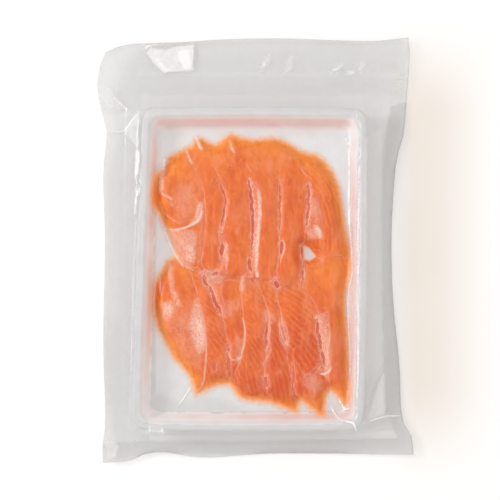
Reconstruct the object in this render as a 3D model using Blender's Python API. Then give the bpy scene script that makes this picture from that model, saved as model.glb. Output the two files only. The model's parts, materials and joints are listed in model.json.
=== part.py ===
"""Vacuum pack of salmon sashimi slices, modelled at its real size.

A clear sealed pouch lies flat and holds a white foam tray with two overlapping rows of slices.
Sizes below are in millimetres and the finished meshes are in metres, +Z up.
The pack rests on z = 0 and is centred on x = y = 0, with its long side along Y.
"""

import math

import bmesh
import bpy
import numpy as np

MM = 0.001

# ---------------------------------------------------------------- pouch
# The cut edge of the pouch, clockwise from its far left corner, one curve for each side.
POUCH_SIDES = (
    ((-95, 125), (-85, 129.5), (-70, 131.5), (-45, 132.5), (-21, 134), (16, 134.5), (51, 133.5),
     (77, 133), (97, 135)),
    ((97, 135), (98, 122), (96.5, 101), (94.5, 76), (90, 59), (88, 41), (86.5, 6), (87.5, -31),
     (91.5, -73), (93, -106), (98.5, -116), (100.4, -130)),
    ((100.4, -130), (77, -130), (49, -129.5), (11, -129.5), (-12, -131), (-26, -132), (-40, -131.5),
     (-57, -128.5), (-70, -129.5), (-80, -134), (-97, -135)),
    ((-97, -135), (-97, -120), (-95.5, -108), (-97, -60), (-96, 4), (-97, 49), (-94.5, 75),
     (-98.5, 90), (-100.5, 108), (-98.5, 116), (-95, 125)),
)
# Where the film meets its underside round the tray: corners, clockwise from the far left.
SKIRT_FOOT = ((-82.5, 99.5), (82, 99.5), (83, -120), (-84, -121))
SKIRT_FOOT_RADIUS = 12.0
SKIRT_SAG = 1.6
CREST_WIDTH = 0.6
SEAL_THICKNESS = 0.5
UNDER_SHEET = 0.4
SEAL_HEIGHT = 0.9
SEAL_RISE_POWER = 1.6
MARGIN_STEPS = (0.34, 0.67, 1.0)
SOLE_INSET = 3.0
EDGE_REST = 0.5
# Where the stiff margin curls up: x, y, height, reach.
EDGE_CURLS = (
    (-96, 118, 8.0, 26), (97, 134, 3.5, 30), (100, -130, 3.0, 26), (-97, -134, 4.0, 24),
    (-95, 74, 2.5, 18), (88, 55, 2.2, 26), (8, 134, 2.4, 45), (-55, -128, 2.0, 22),
)
POUCH_ARC_STEPS = 4
POUCH_LINE_STEPS = 24

# ---------------------------------------------------------------- tray
TRAY_CORNERS = ((-71.5, 89.5), (70.5, 89.5), (68.5, -113.5), (-78, -113.5))
TRAY_CORNER_RADIUS = 9.0
TRAY_CORNER_TIGHTENING = 0.25
TRAY_TIGHTEST_CORNER = 3.0
# How far the middle of each long side stands out from a straight line.
SIDE_BOW = 0.4
TRAY_ARC_STEPS = 3
TRAY_LINE_STEPS = 6
TRAY_HEIGHT = 15.0
TRAY_FLOOR = 2.9
# One turned-in profile: inset from the rim's outer edge, height. It starts in the middle of the
# foot, which is arched a little, and ends in the middle of the floor, which sinks a little.
TRAY_PROFILE = (
    (60.0, 1.1), (42.0, 1.05), (26.0, 0.9), (10.9, 0.7), (9.3, 1.1), (4.2, 11.9), (0.7, 12.3),
    (0.0, 13.2), (0.5, 14.6), (1.5, TRAY_HEIGHT), (3.9, TRAY_HEIGHT), (5.1, 14.3), (9.9, 4.2),
    (11.4, TRAY_FLOOR), (26.0, 2.7), (42.0, 2.55), (60.0, 2.5),
)
GAP = 0.3
FOLD_GAP = 0.4

# ---------------------------------------------------------------- slices
# Each seam is the raised left edge of a slice, from its far end to its near end. A slice spans
# from its own seam to the next one and runs on under it.
UPPER_SEAMS = (
    ((-57.5, 59.5), (-64.5, 40), (-62.5, 27), (-56.5, 11), (-47, -8)),
    ((-43.5, 64), (-39.5, 54), (-35, 42), (-32.5, 28), (-32.5, 9), (-36, -10)),
    ((-38.5, 71), (-33.5, 61), (-25, 48), (-19.5, 35), (-19.5, 22), (-22.5, 9), (-21, -2),
     (-25, -14.5)),
    ((-24.5, 68), (-12.5, 57), (-4, 45), (-2.5, 35), (-1.5, 23), (-1.5, 0), (-5.5, -17.5)),
    ((-5.5, 70.5), (6.5, 57), (15, 45), (16, 31), (15, 15), (15, 0), (11, -19.5)),
    ((11, 71), (21.5, 59), (33, 44), (32.5, 28), (31, 15), (28.5, 2), (30.5, -12)),
    ((25.5, 66.5), (42.5, 58), (52, 47), (56, 31), (59, 16), (59.5, -5)),
)
LOWER_SEAMS = (
    ((-55.5, -6.5), (-62.5, -17), (-64, -34), (-61, -50), (-54, -66), (-45.5, -76), (-39.5, -90.5)),
    ((-43, -10), (-39, -22), (-36.5, -31), (-33.5, -45), (-31.5, -60), (-32.5, -76), (-38, -90.5)),
    ((-36, -10), (-29, -25), (-21.5, -41), (-19.5, -50), (-17, -63), (-15.5, -84.5)),
    ((-11, -16.5), (-9.5, -31), (-8, -43), (-7.5, -54), (-9.5, -67), (-14.5, -81), (-13.5, -90)),
    ((-1, -16.5), (4.5, -31), (8, -41), (8, -53), (6, -67), (4.5, -79), (8, -95.5)),
    ((10.5, -21.5), (13.5, -31), (15.5, -41), (16, -53), (19, -64), (21.5, -79), (26, -96)),
    ((30.5, -7.5), (30.5, -22), (37, -33), (39.5, -41), (40.5, -53), (44, -67), (46, -79),
     (47.5, -90), (53, -97.5)),
    ((57.5, -1), (59.5, -17), (58, -25), (58, -42), (58, -59), (58.5, -84), (57, -98)),
)
# How each slice ends. At its far and near end: the share across at which the edge swells out, and
# how far. Then the share of its seam that it follows, and how far its tucked edge draws in near.
UPPER_ENDS = (
    (0.6, 1.0, 0.8, 1.5, 1.0, 0.0), (0.7, 0.5, 0.5, 1.0, 1.0, 0.0), (0.2, 0.8, 0.5, 1.5, 1.0, 0.0),
    (0.5, 4.5, 0.6, 1.0, 1.0, 0.0), (0.4, 1.0, 0.5, 8.0, 1.0, 0.0), (0.4, 1.5, 0.6, 1.0, 0.83, 0.0),
)
LOWER_ENDS = (
    (0.4, 1.5, 0.9, 1.5, 1.0, 0.0), (0.5, 0.0, 0.1, 1.0, 1.0, 0.0), (0.5, 0.0, 0.5, 0.0, 0.96, 0.0),
    (0.5, 0.0, 0.5, 3.0, 1.0, 0.0), (0.5, 0.0, 1.0, 7.0, 1.0, 0.0), (0.5, 0.0, 1.0, 6.4, 1.0, 8.0),
    (0.5, 0.0, 0.7, 1.0, 1.0, 0.0),
)
SWELL_WIDTH = 0.35
SWELL_POWER = 4
DRAW_IN_POWER = 3
END_PINCH = 0.16
END_PINCH_POWER = 6
# Lines across the rows: the far ends, the near ends of the upper row, the near ends of the lower.
FAR_LINE = ((-57, 59.5), (-43, 65), (-38, 71), (-24, 68), (-5, 70.5), (11, 71), (26, 66), (42, 58),
            (52, 47))
ROW_LINE = ((-47, -8), (-31, -14.5), (-15, -18), (4, -19.5), (21.5, -24), (30, -15), (39, -6.5),
            (59, -5))
NEAR_LINE = ((-40, -91), (-25, -87), (-13, -90), (8, -96), (26, -97), (46, -98), (57, -98))
# How far a slice stands above its left neighbour, and the share of its width that lies under the
# next one.
STEP_HEIGHT = 3.6
STEP_CLEARANCE = 0.5
TUCK = 0.35
# The upper row climbs onto the lower one, from this far before the line where it ends.
ROW_LIFT = 3.9
ROW_LIFT_START = 22.0
ROW_LIFT_LENGTH = 18.0
# The lengths over which the rows thin out, and the shares of the step height left at their ends.
FAR_TAPER = 14.0
ROW_TAPER = 20.0
NEAR_TAPER = 16.0
THIN_END = 0.45
THIN_ROW_END = 0.65
THIN_TUCKED_END = 0.42
# A slice's edges are rounded over this share of its width, down to this share of its thickness.
FLANK = 0.2
THIN_EDGE = 0.4
# The same along its length.
ROUNDED_END = 0.12
THIN_TIP = 0.6
LENGTH_SEGMENTS = 16
WIDTH_SEGMENTS = 8

CURVE_STEPS = 12

# Red, green, blue and alpha, then roughness.
CLEAR_FILM = ((0.82, 0.83, 0.84, 0.35), 0.08)
WHITE_FOAM = ((0.86, 0.86, 0.87, 1.0), 0.6)
RAW_SALMON = ((0.86, 0.27, 0.08, 1.0), 0.3)


def clear_scene():
    for thing in list(bpy.data.objects):
        bpy.data.objects.remove(thing, do_unlink=True)


def principled(name, colour, roughness):
    material = bpy.data.materials.new(name)
    material.use_nodes = True
    shader = material.node_tree.nodes["Principled BSDF"]
    shader.inputs["Base Color"].default_value = colour
    shader.inputs["Roughness"].default_value = roughness
    shader.inputs["Metallic"].default_value = 0.0
    shader.inputs["Alpha"].default_value = colour[3]
    return material


def add_object(name, bm, material):
    bmesh.ops.scale(bm, vec=(MM, MM, MM), verts=bm.verts[:])
    bmesh.ops.recalc_face_normals(bm, faces=bm.faces[:])
    mesh = bpy.data.meshes.new(name)
    bm.to_mesh(mesh)
    bm.free()
    mesh.materials.append(material)
    mesh.shade_smooth()
    piece = bpy.data.objects.new(name, mesh)
    bpy.context.collection.objects.link(piece)
    return piece


def smoothstep(value):
    value = np.clip(value, 0.0, 1.0)
    return value * value * (3.0 - 2.0 * value)


def curve_through(points):
    """A smooth curve through the points, as an array of x, y rows."""
    points = np.array(points, dtype=float)
    before = np.vstack([2 * points[0] - points[1], points[:-1]])
    after = np.vstack([points[1:], 2 * points[-1] - points[-2]])
    slopes = (after - before) / 2
    t = np.linspace(0.0, 1.0, CURVE_STEPS, endpoint=False)[:, None]
    rows = []
    for k in range(len(points) - 1):
        rows.append(
            (2 * t**3 - 3 * t**2 + 1) * points[k]
            + (t**3 - 2 * t**2 + t) * slopes[k]
            + (3 * t**2 - 2 * t**3) * points[k + 1]
            + (t**3 - t**2) * slopes[k + 1]
        )
    rows.append(points[-1:])
    return np.vstack(rows)


def along(curve, fractions):
    """Points at these fractions of a curve's length."""
    steps = np.linalg.norm(np.diff(curve, axis=0), axis=1)
    travelled = np.concatenate([[0.0], np.cumsum(steps)])
    wanted = np.asarray(fractions) * travelled[-1]
    return np.column_stack([np.interp(wanted, travelled, curve[:, k]) for k in (0, 1)])


def inset_corners(corners, inset):
    """The corners of a clockwise quadrilateral with every side moved inwards."""
    corners = np.array(corners, dtype=float)
    ways = np.roll(corners, -1, axis=0) - corners
    ways /= np.linalg.norm(ways, axis=1)[:, None]
    inwards = np.column_stack([ways[:, 1], -ways[:, 0]])
    moved = corners + inset * inwards
    met = []
    for k in range(len(corners)):
        last = k - 1
        reach = np.linalg.solve(np.column_stack([ways[last], -ways[k]]), moved[k] - moved[last])
        met.append(moved[last] + reach[0] * ways[last])
    return np.array(met)


def rounded_sides(corners, inset, radius, arc_steps, line_steps):
    """Four runs of points round a quadrilateral, each from mid-corner to the next mid-corner."""
    corners = inset_corners(corners, inset)
    arcs = []
    for k, corner in enumerate(corners):
        back = corners[k - 1] - corner
        forward = corners[(k + 1) % 4] - corner
        back /= np.linalg.norm(back)
        forward /= np.linalg.norm(forward)
        half = math.acos(np.clip(back @ forward, -1.0, 1.0)) / 2
        bisector = (back + forward) / np.linalg.norm(back + forward)
        centre = corner + bisector * radius / math.sin(half)
        start = corner + back * radius / math.tan(half) - centre
        end = corner + forward * radius / math.tan(half) - centre
        turn = math.atan2(start[0] * end[1] - start[1] * end[0], start @ end)
        angles = np.linspace(0.0, turn, 2 * arc_steps + 1)
        first = math.atan2(start[1], start[0])
        arcs.append(centre + radius * np.column_stack([np.cos(first + angles), np.sin(first + angles)]))
    sides = []
    for k in range(4):
        leave = arcs[k][arc_steps:]
        arrive = arcs[(k + 1) % 4][:arc_steps]
        share = np.linspace(0.0, 1.0, line_steps + 1)[1:, None]
        way = arrive[0] - leave[-1]
        outwards = np.array([-way[1], way[0]]) / np.linalg.norm(way)
        line = leave[-1] + share * way + 4 * SIDE_BOW * share * (1 - share) * outwards
        sides.append(np.vstack([leave, line, arrive[1:]]))
    return sides


def ring(sides, height):
    """One closed ring from its four sides, at one height or at a height for each point."""
    flat = np.vstack(sides)
    return np.column_stack([flat, np.broadcast_to(height, len(flat))])


def loft(rings):
    """A closed body that runs through the rings, with a flat cap on the first and the last."""
    bm = bmesh.new()
    verts = bmesh.ops.create_circle(bm, segments=len(rings[0]), radius=1.0)["verts"]
    for vert, place in zip(verts, rings[0]):
        vert.co = place
    edges = bm.edges[:]
    bmesh.ops.contextual_create(bm, geom=edges)
    for places in rings[1:]:
        order = {vert: k for k, vert in enumerate(verts)}
        grown = bmesh.ops.extrude_edge_only(bm, edges=edges)["geom"]
        edges = [item for item in grown if isinstance(item, bmesh.types.BMEdge)]
        fresh = [item for item in grown if isinstance(item, bmesh.types.BMVert)]
        verts = [None] * len(order)
        for vert in fresh:
            root = next(edge.other_vert(vert) for edge in vert.link_edges
                        if edge.other_vert(vert) in order)
            verts[order[root]] = vert
        for vert, place in zip(verts, places):
            vert.co = place
    bmesh.ops.contextual_create(bm, geom=edges)
    return bm


def edge_height(places):
    """How far the pouch's cut edge stands above its seal, from where its margin curls up."""
    height = np.full(len(places), EDGE_REST)
    for x, y, rise, reach in EDGE_CURLS:
        away = np.linalg.norm(places - (x, y), axis=1)
        height += rise * np.exp(-((away / reach) ** 2))
    return height


def make_pouch(material):
    """The clear pouch: its sealed margin, its skirt up to the tray's rim and its under sheet."""
    steps = (POUCH_ARC_STEPS, POUCH_LINE_STEPS)
    wall = rounded_sides(TRAY_CORNERS, -FOLD_GAP, TRAY_CORNER_RADIUS, *steps)
    crest = rounded_sides(TRAY_CORNERS, -FOLD_GAP - CREST_WIDTH, TRAY_CORNER_RADIUS, *steps)
    foot = rounded_sides(SKIRT_FOOT, 0.0, SKIRT_FOOT_RADIUS, *steps)
    sole = rounded_sides(SKIRT_FOOT, SOLE_INSET, SKIRT_FOOT_RADIUS, *steps)
    cut_edge = []
    for side, outline in zip(foot, POUCH_SIDES):
        paces = np.linalg.norm(np.diff(side, axis=0), axis=1)
        travelled = np.concatenate([[0.0], np.cumsum(paces)])
        fractions = travelled / (travelled[-1] + paces[0])
        cut_edge.append(along(curve_through(outline), fractions))
    crest_ring = ring(crest, TRAY_HEIGHT)
    foot_ring = ring(foot, SEAL_HEIGHT)
    skirt_middle = (crest_ring + foot_ring) / 2 - (0.0, 0.0, SKIRT_SAG)
    edge_ring = ring(cut_edge, SEAL_HEIGHT)
    rise = edge_height(edge_ring[:, :2])
    margin = []
    for step in MARGIN_STEPS:
        places = foot_ring + (edge_ring - foot_ring) * step
        places[:, 2] += rise * step**SEAL_RISE_POWER
        margin.append(places)
    below = (0.0, 0.0, SEAL_THICKNESS)
    rings = [ring(wall, UNDER_SHEET), ring(wall, TRAY_HEIGHT), crest_ring, skirt_middle, foot_ring]
    rings += margin
    rings += [places - below for places in reversed(margin)]
    rings += [foot_ring - below, ring(sole, 0.0)]
    return add_object("pouch", loft(rings), material)


def make_tray(material):
    """The white foam tray: foot, sloping wall, rolled rim and shallow floor."""
    rings = []
    for inset, height in TRAY_PROFILE:
        radius = max(TRAY_CORNER_RADIUS - TRAY_CORNER_TIGHTENING * inset, TRAY_TIGHTEST_CORNER)
        sides = rounded_sides(TRAY_CORNERS, inset, radius, TRAY_ARC_STEPS, TRAY_LINE_STEPS)
        rings.append(ring(sides, height))
    return add_object("tray", loft(rings), material)


class Row:
    """A row of slices that lie against each other like tilted sheets, a step height apart."""

    def __init__(self, name, seams, ends, thinning, lift):
        self.name = name
        self.curves = [curve_through(seam) for seam in seams]
        self.ends = ends
        self.thinning = thinning
        self.lift = lift

    def seam_x(self, k, y):
        curve = self.curves[k][::-1]
        return np.interp(y, curve[:, 1], curve[:, 0])

    def place_across(self, x, y):
        """How many seams lie to the left of a point, with the share of the way to the next."""
        seams = [self.seam_x(k, y) for k in range(len(self.curves))]
        return np.interp(x, seams, range(len(seams)))

    def outline_point(self, k, u, v):
        """The point of slice k at u across, from its raised edge, and v along, from the far end."""
        left, right = self.curves[k], self.curves[k + 1]
        far_place, far_reach, near_place, near_reach, share, draw_in = self.ends[k]
        y_left = left[0, 1] + share * v * (left[-1, 1] - left[0, 1])
        y_right = right[0, 1] + v * (right[-1, 1] - right[0, 1])
        x_left = self.seam_x(k, y_left)
        x_right = self.seam_x(k + 1, y_right)
        end = abs(2 * v - 1)
        if k + 2 < len(self.curves):
            x_right += TUCK * (1 - end**2) * (x_right - self.seam_x(k, y_right))
        if v > 0.5:
            x_right -= draw_in * end**DRAW_IN_POWER
            swell = -near_reach * math.exp(-(((u - near_place) / SWELL_WIDTH) ** 2))
        else:
            swell = far_reach * math.exp(-(((u - far_place) / SWELL_WIDTH) ** 2))
        u = 0.5 + (u - 0.5) * (1 - END_PINCH * end**END_PINCH_POWER)
        x = x_left + u * (x_right - x_left)
        y = y_left + u * (y_right - y_left) + swell * end**SWELL_POWER
        return x, y

    def heights(self, k, x, y, u, v):
        """The underside's height at a point of slice k, and its thickness there."""
        thin = self.thinning(x, y)
        climb = max(k + 1 + TUCK - self.place_across(x, y), 0.0)
        under = TRAY_FLOOR + GAP + self.lift(x, y) + thin * STEP_HEIGHT * climb
        full = thin * STEP_HEIGHT - STEP_CLEARANCE
        edge = min(u / FLANK, (1 - u) / FLANK, 1.0)
        end = min(v / ROUNDED_END, (1 - v) / ROUNDED_END, 1.0)
        rounded = THIN_EDGE + (1 - THIN_EDGE) * math.sqrt(max(1 - (1 - edge) ** 2, 0.0))
        return under, full * rounded * (THIN_TIP + (1 - THIN_TIP) * end)

    def make_slice(self, k, material):
        bm = bmesh.new()
        bmesh.ops.create_grid(bm, x_segments=WIDTH_SEGMENTS, y_segments=LENGTH_SEGMENTS, size=0.5)
        grown = bmesh.ops.extrude_face_region(bm, geom=bm.faces[:], use_keep_orig=True)["geom"]
        top = {item for item in grown if isinstance(item, bmesh.types.BMVert)}
        for vert in bm.verts:
            u, v = vert.co.x + 0.5, 0.5 - vert.co.y
            x, y = self.outline_point(k, u, v)
            under, thickness = self.heights(k, x, y, u, v)
            vert.co = (x, y, under + thickness if vert in top else under)
        return add_object(f"{self.name}_slice_{k + 1}", bm, material)

    def make(self, material):
        for k in range(len(self.curves) - 1):
            self.make_slice(k, material)


def line_y(line, x):
    return np.interp(x, [place[0] for place in line], [place[1] for place in line])


def upper_thinning(x, y):
    far = THIN_END + (1 - THIN_END) * smoothstep((line_y(FAR_LINE, x) - y) / FAR_TAPER)
    near = smoothstep((y - line_y(ROW_LINE, x)) / ROW_TAPER)
    return far * (THIN_ROW_END + (1 - THIN_ROW_END) * near)


def upper_lift(x, y):
    start = line_y(ROW_LINE, x) + ROW_LIFT_START
    return ROW_LIFT * smoothstep((start - y) / ROW_LIFT_LENGTH)


def lower_thinning(x, y):
    far = smoothstep((line_y(ROW_LINE, x) - y) / ROW_TAPER)
    near = THIN_END + (1 - THIN_END) * smoothstep((y - line_y(NEAR_LINE, x)) / NEAR_TAPER)
    return (THIN_TUCKED_END + (1 - THIN_TUCKED_END) * far) * near


def no_lift(x, y):
    return 0.0


def main():
    clear_scene()
    make_pouch(principled("clear_film", *CLEAR_FILM))
    make_tray(principled("white_foam", *WHITE_FOAM))
    salmon = principled("raw_salmon", *RAW_SALMON)
    Row("upper", UPPER_SEAMS, UPPER_ENDS, upper_thinning, upper_lift).make(salmon)
    Row("lower", LOWER_SEAMS, LOWER_ENDS, lower_thinning, no_lift).make(salmon)


main()
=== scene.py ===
"""Looks of a vacuum pack of salmon sashimi slices: a clear crinkled pouch shrunk over a foam tray.

Lengths in the tables and in the code are in millimetres. The settings hold metres, as Blender's own
lengths do, and so do the finished meshes.
"""

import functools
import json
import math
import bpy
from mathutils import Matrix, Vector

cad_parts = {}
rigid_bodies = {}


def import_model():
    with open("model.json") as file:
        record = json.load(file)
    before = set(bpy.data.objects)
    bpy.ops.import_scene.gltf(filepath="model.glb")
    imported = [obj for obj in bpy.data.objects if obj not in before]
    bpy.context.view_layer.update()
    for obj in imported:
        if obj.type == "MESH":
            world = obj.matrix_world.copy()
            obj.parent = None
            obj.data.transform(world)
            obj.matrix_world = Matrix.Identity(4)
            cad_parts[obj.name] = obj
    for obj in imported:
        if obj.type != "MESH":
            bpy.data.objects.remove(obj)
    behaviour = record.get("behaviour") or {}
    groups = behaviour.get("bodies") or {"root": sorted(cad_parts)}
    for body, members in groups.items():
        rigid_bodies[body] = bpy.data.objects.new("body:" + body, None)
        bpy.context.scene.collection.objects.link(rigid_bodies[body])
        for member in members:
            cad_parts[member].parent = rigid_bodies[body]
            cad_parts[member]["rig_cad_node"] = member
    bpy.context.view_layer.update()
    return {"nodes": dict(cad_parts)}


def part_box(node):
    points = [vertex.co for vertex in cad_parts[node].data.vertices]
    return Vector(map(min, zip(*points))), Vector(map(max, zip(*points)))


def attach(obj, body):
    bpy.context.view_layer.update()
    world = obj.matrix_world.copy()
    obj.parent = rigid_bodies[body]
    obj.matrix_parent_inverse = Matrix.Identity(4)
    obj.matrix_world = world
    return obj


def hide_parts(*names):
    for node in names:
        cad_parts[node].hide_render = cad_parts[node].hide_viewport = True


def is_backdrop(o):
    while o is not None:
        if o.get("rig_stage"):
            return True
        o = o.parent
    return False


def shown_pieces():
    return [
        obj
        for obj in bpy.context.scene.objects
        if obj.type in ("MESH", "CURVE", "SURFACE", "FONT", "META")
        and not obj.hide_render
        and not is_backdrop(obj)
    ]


bl_info = {
    "name": "Sashimi Vacuum Pack",
    "version": (1, 0, 0),
    "blender": (4, 5, 0),
    "location": "View3D > Sidebar > Vacuum Pack",
    "description": "Dresses a pack of salmon slices on a foam tray in a clear shrunk pouch",
    "category": "Object",
}

import types

import bmesh
import bpy
import numpy as np
from mathutils import noise
from mathutils.bvhtree import BVHTree

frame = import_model()

MM = 0.001

# ---------------------------------------------------------------- places
# The camera looks straight down, so a place on the pack can be given by its pixel in the 500 x 500
# view: the pixel of the pack's middle, and how many millimetres a pixel covers there.
MIDDLE_PIXEL = (255.65, 250.1)
MM_PER_PIXEL = 0.638
VIEW_SIDE = 500
VIEW_MIDDLE_PIXEL = (250.0, 250.0)
CAMERA_HEIGHT = 1000.0
SENSOR = 36.0

UPPER = [f"upper_slice_{k}" for k in range(1, 7)]
LOWER = [f"lower_slice_{k}" for k in range(1, 8)]
# A height above everything, from which rays are cast down. They are cast up from as far below.
SKY = 60.0

# ---------------------------------------------------------------- grain of the flesh
# For each slice: the angle of its fat lines at its middle, in degrees from the right, the radius of
# their arcs, the distance between them, and how strongly they show.
GRAIN = {
    "upper_slice_1": (-50, 90, 2.6, 0.25),
    "upper_slice_2": (-70, 160, 2.4, 0.2),
    "upper_slice_3": (-74, 160, 2.6, 0.3),
    "upper_slice_4": (-78, 160, 2.6, 0.35),
    "upper_slice_5": (-78, 160, 2.4, 0.35),
    "upper_slice_6": (-60, 50, 2.6, 0.9),
    "lower_slice_1": (-58, 60, 3.2, 0.4),
    "lower_slice_2": (-48, 70, 3.0, 0.75),
    "lower_slice_3": (-60, 90, 2.8, 0.3),
    "lower_slice_4": (-52, 60, 2.8, 0.6),
    "lower_slice_5": (-56, 70, 3.0, 0.7),
    "lower_slice_6": (-48, 60, 3.2, 0.85),
    "lower_slice_7": (-80, 90, 3.0, 0.35),
}
# How much the places are squeezed along the pack where noise is drawn out into fibres and streaks.
FIBRE_SQUEEZE = 0.3

# ---------------------------------------------------------------- heap of flesh
# The outline of both rows in pixels, where the flesh has half faded into the foam, and the one
# place inside it where the bare tray shows.
HEAP = (
    (175, 256), (171, 246), (167, 236), (163, 226), (159, 216), (152, 205), (151.5, 190), (154, 176),
    (163, 168), (168, 156), (181, 150), (191, 145), (196, 137), (203, 138), (210, 142), (216, 144),
    (223, 138), (231, 133), (240, 137), (252, 139), (270, 137.5), (282, 139), (291, 144), (303, 151),
    (316, 154), (325, 160), (332, 169), (339, 184), (343, 204), (346, 228), (350, 246), (352, 264),
    (350, 276), (347, 290), (346, 306), (348, 330), (349, 360), (349.5, 398), (346, 409), (341, 403),
    (335, 395), (330, 391), (327, 397), (325, 416), (316, 414), (309, 408), (301, 402), (298, 413),
    (290, 411), (282, 408), (270, 403.5), (258, 402), (246, 401), (238, 398), (233, 390), (228, 385),
    (220, 386), (210, 389), (196, 396), (193, 390), (190, 379), (182, 368), (174, 360), (166, 345),
    (158, 330), (153, 316), (151, 300), (153, 282), (161, 270), (166, 261), (171, 257),
)
HOLE = ((304, 246), (304.5, 259), (309, 260), (315, 256.5), (309, 249))
# How many times more sharply the flesh's colour ends at the hole than at the outline.
HOLE_STEEPNESS = 3.5

# ---------------------------------------------------------------- tones of the flesh
# Round blots of pixels where the flesh is deeper, yellower or paler: x, y, radius, strength.
DEEP_BLOTS = (
    (285, 385, 26, 0.9), (310, 350, 30, 0.9), (255, 385, 24, 0.8), (216, 366, 13, 0.7), (270, 345, 20, 0.7),
    (318, 290, 13, 0.3), (300, 225, 14, 0.4), (208, 255, 10, 0.4), (238, 205, 10, 0.2), (262, 395, 16, 0.5),
    (330, 215, 14, 0.3), (293, 190, 13, 0.35), (175, 330, 16, 0.45), (214, 335, 16, 0.55),
    (238, 330, 14, 0.4), (300, 330, 22, 0.5), (218, 308, 9, 0.5),
)
YELLOW_BLOTS = (
    (172, 168, 17, 0.9), (200, 143, 12, 0.7), (214, 152, 14, 0.8), (235, 140, 14, 0.9), (258, 146, 16, 0.7),
    (281, 147, 15, 0.9), (304, 156, 13, 0.9), (326, 172, 15, 0.8), (338, 195, 14, 0.5), (347, 232, 12, 0.5),
    (160, 205, 9, 0.9), (168, 226, 8, 0.6), (158, 302, 7, 0.9), (163, 324, 8, 0.8), (172, 345, 9, 0.8),
    (184, 362, 9, 0.8), (193, 378, 9, 0.8), (210, 388, 10, 0.6), (292, 404, 11, 0.6), (320, 408, 11, 0.7),
    (343, 395, 11, 0.6), (333, 275, 17, 0.7), (184, 272, 10, 0.7), (345, 320, 10, 0.6), (240, 288, 9, 0.3),
    (312, 272, 12, 0.5), (266, 285, 9, 0.3), (343, 300, 13, 0.5), (344, 255, 11, 0.4),
)
PALE_BLOTS = (
    (188, 195, 13, 0.45), (180, 245, 13, 0.6), (182, 315, 15, 0.35), (195, 335, 14, 0.4),
    (212, 283, 10, 0.35), (250, 275, 8, 0.3), (300, 278, 10, 0.25), (270, 165, 12, 0.25),
    (341, 300, 12, 0.5), (342, 340, 12, 0.5), (342, 370, 12, 0.4), (341, 235, 10, 0.4), (239, 215, 13, 0.3),
    (269, 205, 12, 0.2),
)
# Where the flesh is pink and raw: an outline of pixels, softness in pixels, strength.
ROSY = (
    (((250, 178), (257, 182), (261, 200), (260, 235), (257, 272), (253, 276), (252, 240), (251, 200)),
     1.0, 0.75),
    (((308, 180), (316, 194), (322, 214), (322, 236), (312, 240), (305, 232), (307, 205)), 2.0, 0.5),
    (((201, 271), (212, 268), (221, 270), (226, 262), (228, 272), (222, 284), (212, 284), (205, 281)),
     2.0, 0.7),
    (((206, 284), (214, 284), (222, 300), (228, 318), (222, 320), (213, 302)), 3.0, 0.3),
    (((271, 277), (280, 275), (280, 290), (274, 291)), 1.5, 0.7),
    (((218, 225), (226, 228), (229, 246), (226, 268), (220, 268), (218, 245)), 2.0, 0.4),
    (((222, 345), (230, 340), (243, 350), (240, 362), (228, 366), (224, 356)), 3.0, 0.35),
    (((262, 310), (272, 312), (272, 350), (266, 388), (258, 388), (262, 345)), 3.0, 0.4),
    (((278, 322), (286, 324), (291, 345), (287, 352), (280, 342)), 2.0, 0.4),
    (((314, 312), (322, 314), (326, 345), (328, 368), (318, 374), (312, 372), (320, 352), (315, 330)),
     2.0, 0.6),
    (((300, 372), (316, 374), (322, 388), (312, 392), (302, 386)), 4.0, 0.4),
    (((240, 272), (252, 270), (262, 274), (262, 282), (246, 286), (240, 290)), 2.5, 0.4),
    (((298, 243), (304, 246), (304, 262), (306, 280), (300, 290), (298, 270)), 1.5, 0.5),
    (((176, 236), (196, 232), (200, 250), (192, 268), (182, 262)), 4.0, 0.35),
    (((188, 300), (204, 305), (208, 340), (206, 370), (198, 370), (190, 330)), 4.0, 0.3),
)
# Where the foam is tinted: by juice, and along the far and left walls and in the bare hole also by painted
# shade. An outline of pixels, softness in pixels, strength.
BLUSHES = (
    (((158, 117), (348, 117), (350, 127), (340, 129), (170, 129), (156, 127)), 4.0, 1.0),
    (((170, 129), (330, 129), (330, 134), (170, 134)), 6.0, 0.3),
    (((141, 170), (152, 165), (156, 240), (153, 330), (148, 390), (141, 380), (140, 280)), 4.0, 0.5),
    (((346, 150), (352, 150), (352, 300), (351, 415), (346, 415), (345, 300)), 3.0, 0.2),
    (((180, 411), (345, 409), (347, 420), (178, 420)), 5.0, 0.18),
    (((324, 400), (345, 398), (347, 416), (322, 417)), 6.0, 0.22),
    (((300, 242), (320, 242), (320, 264), (300, 264)), 2.0, 0.3),
)
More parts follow.
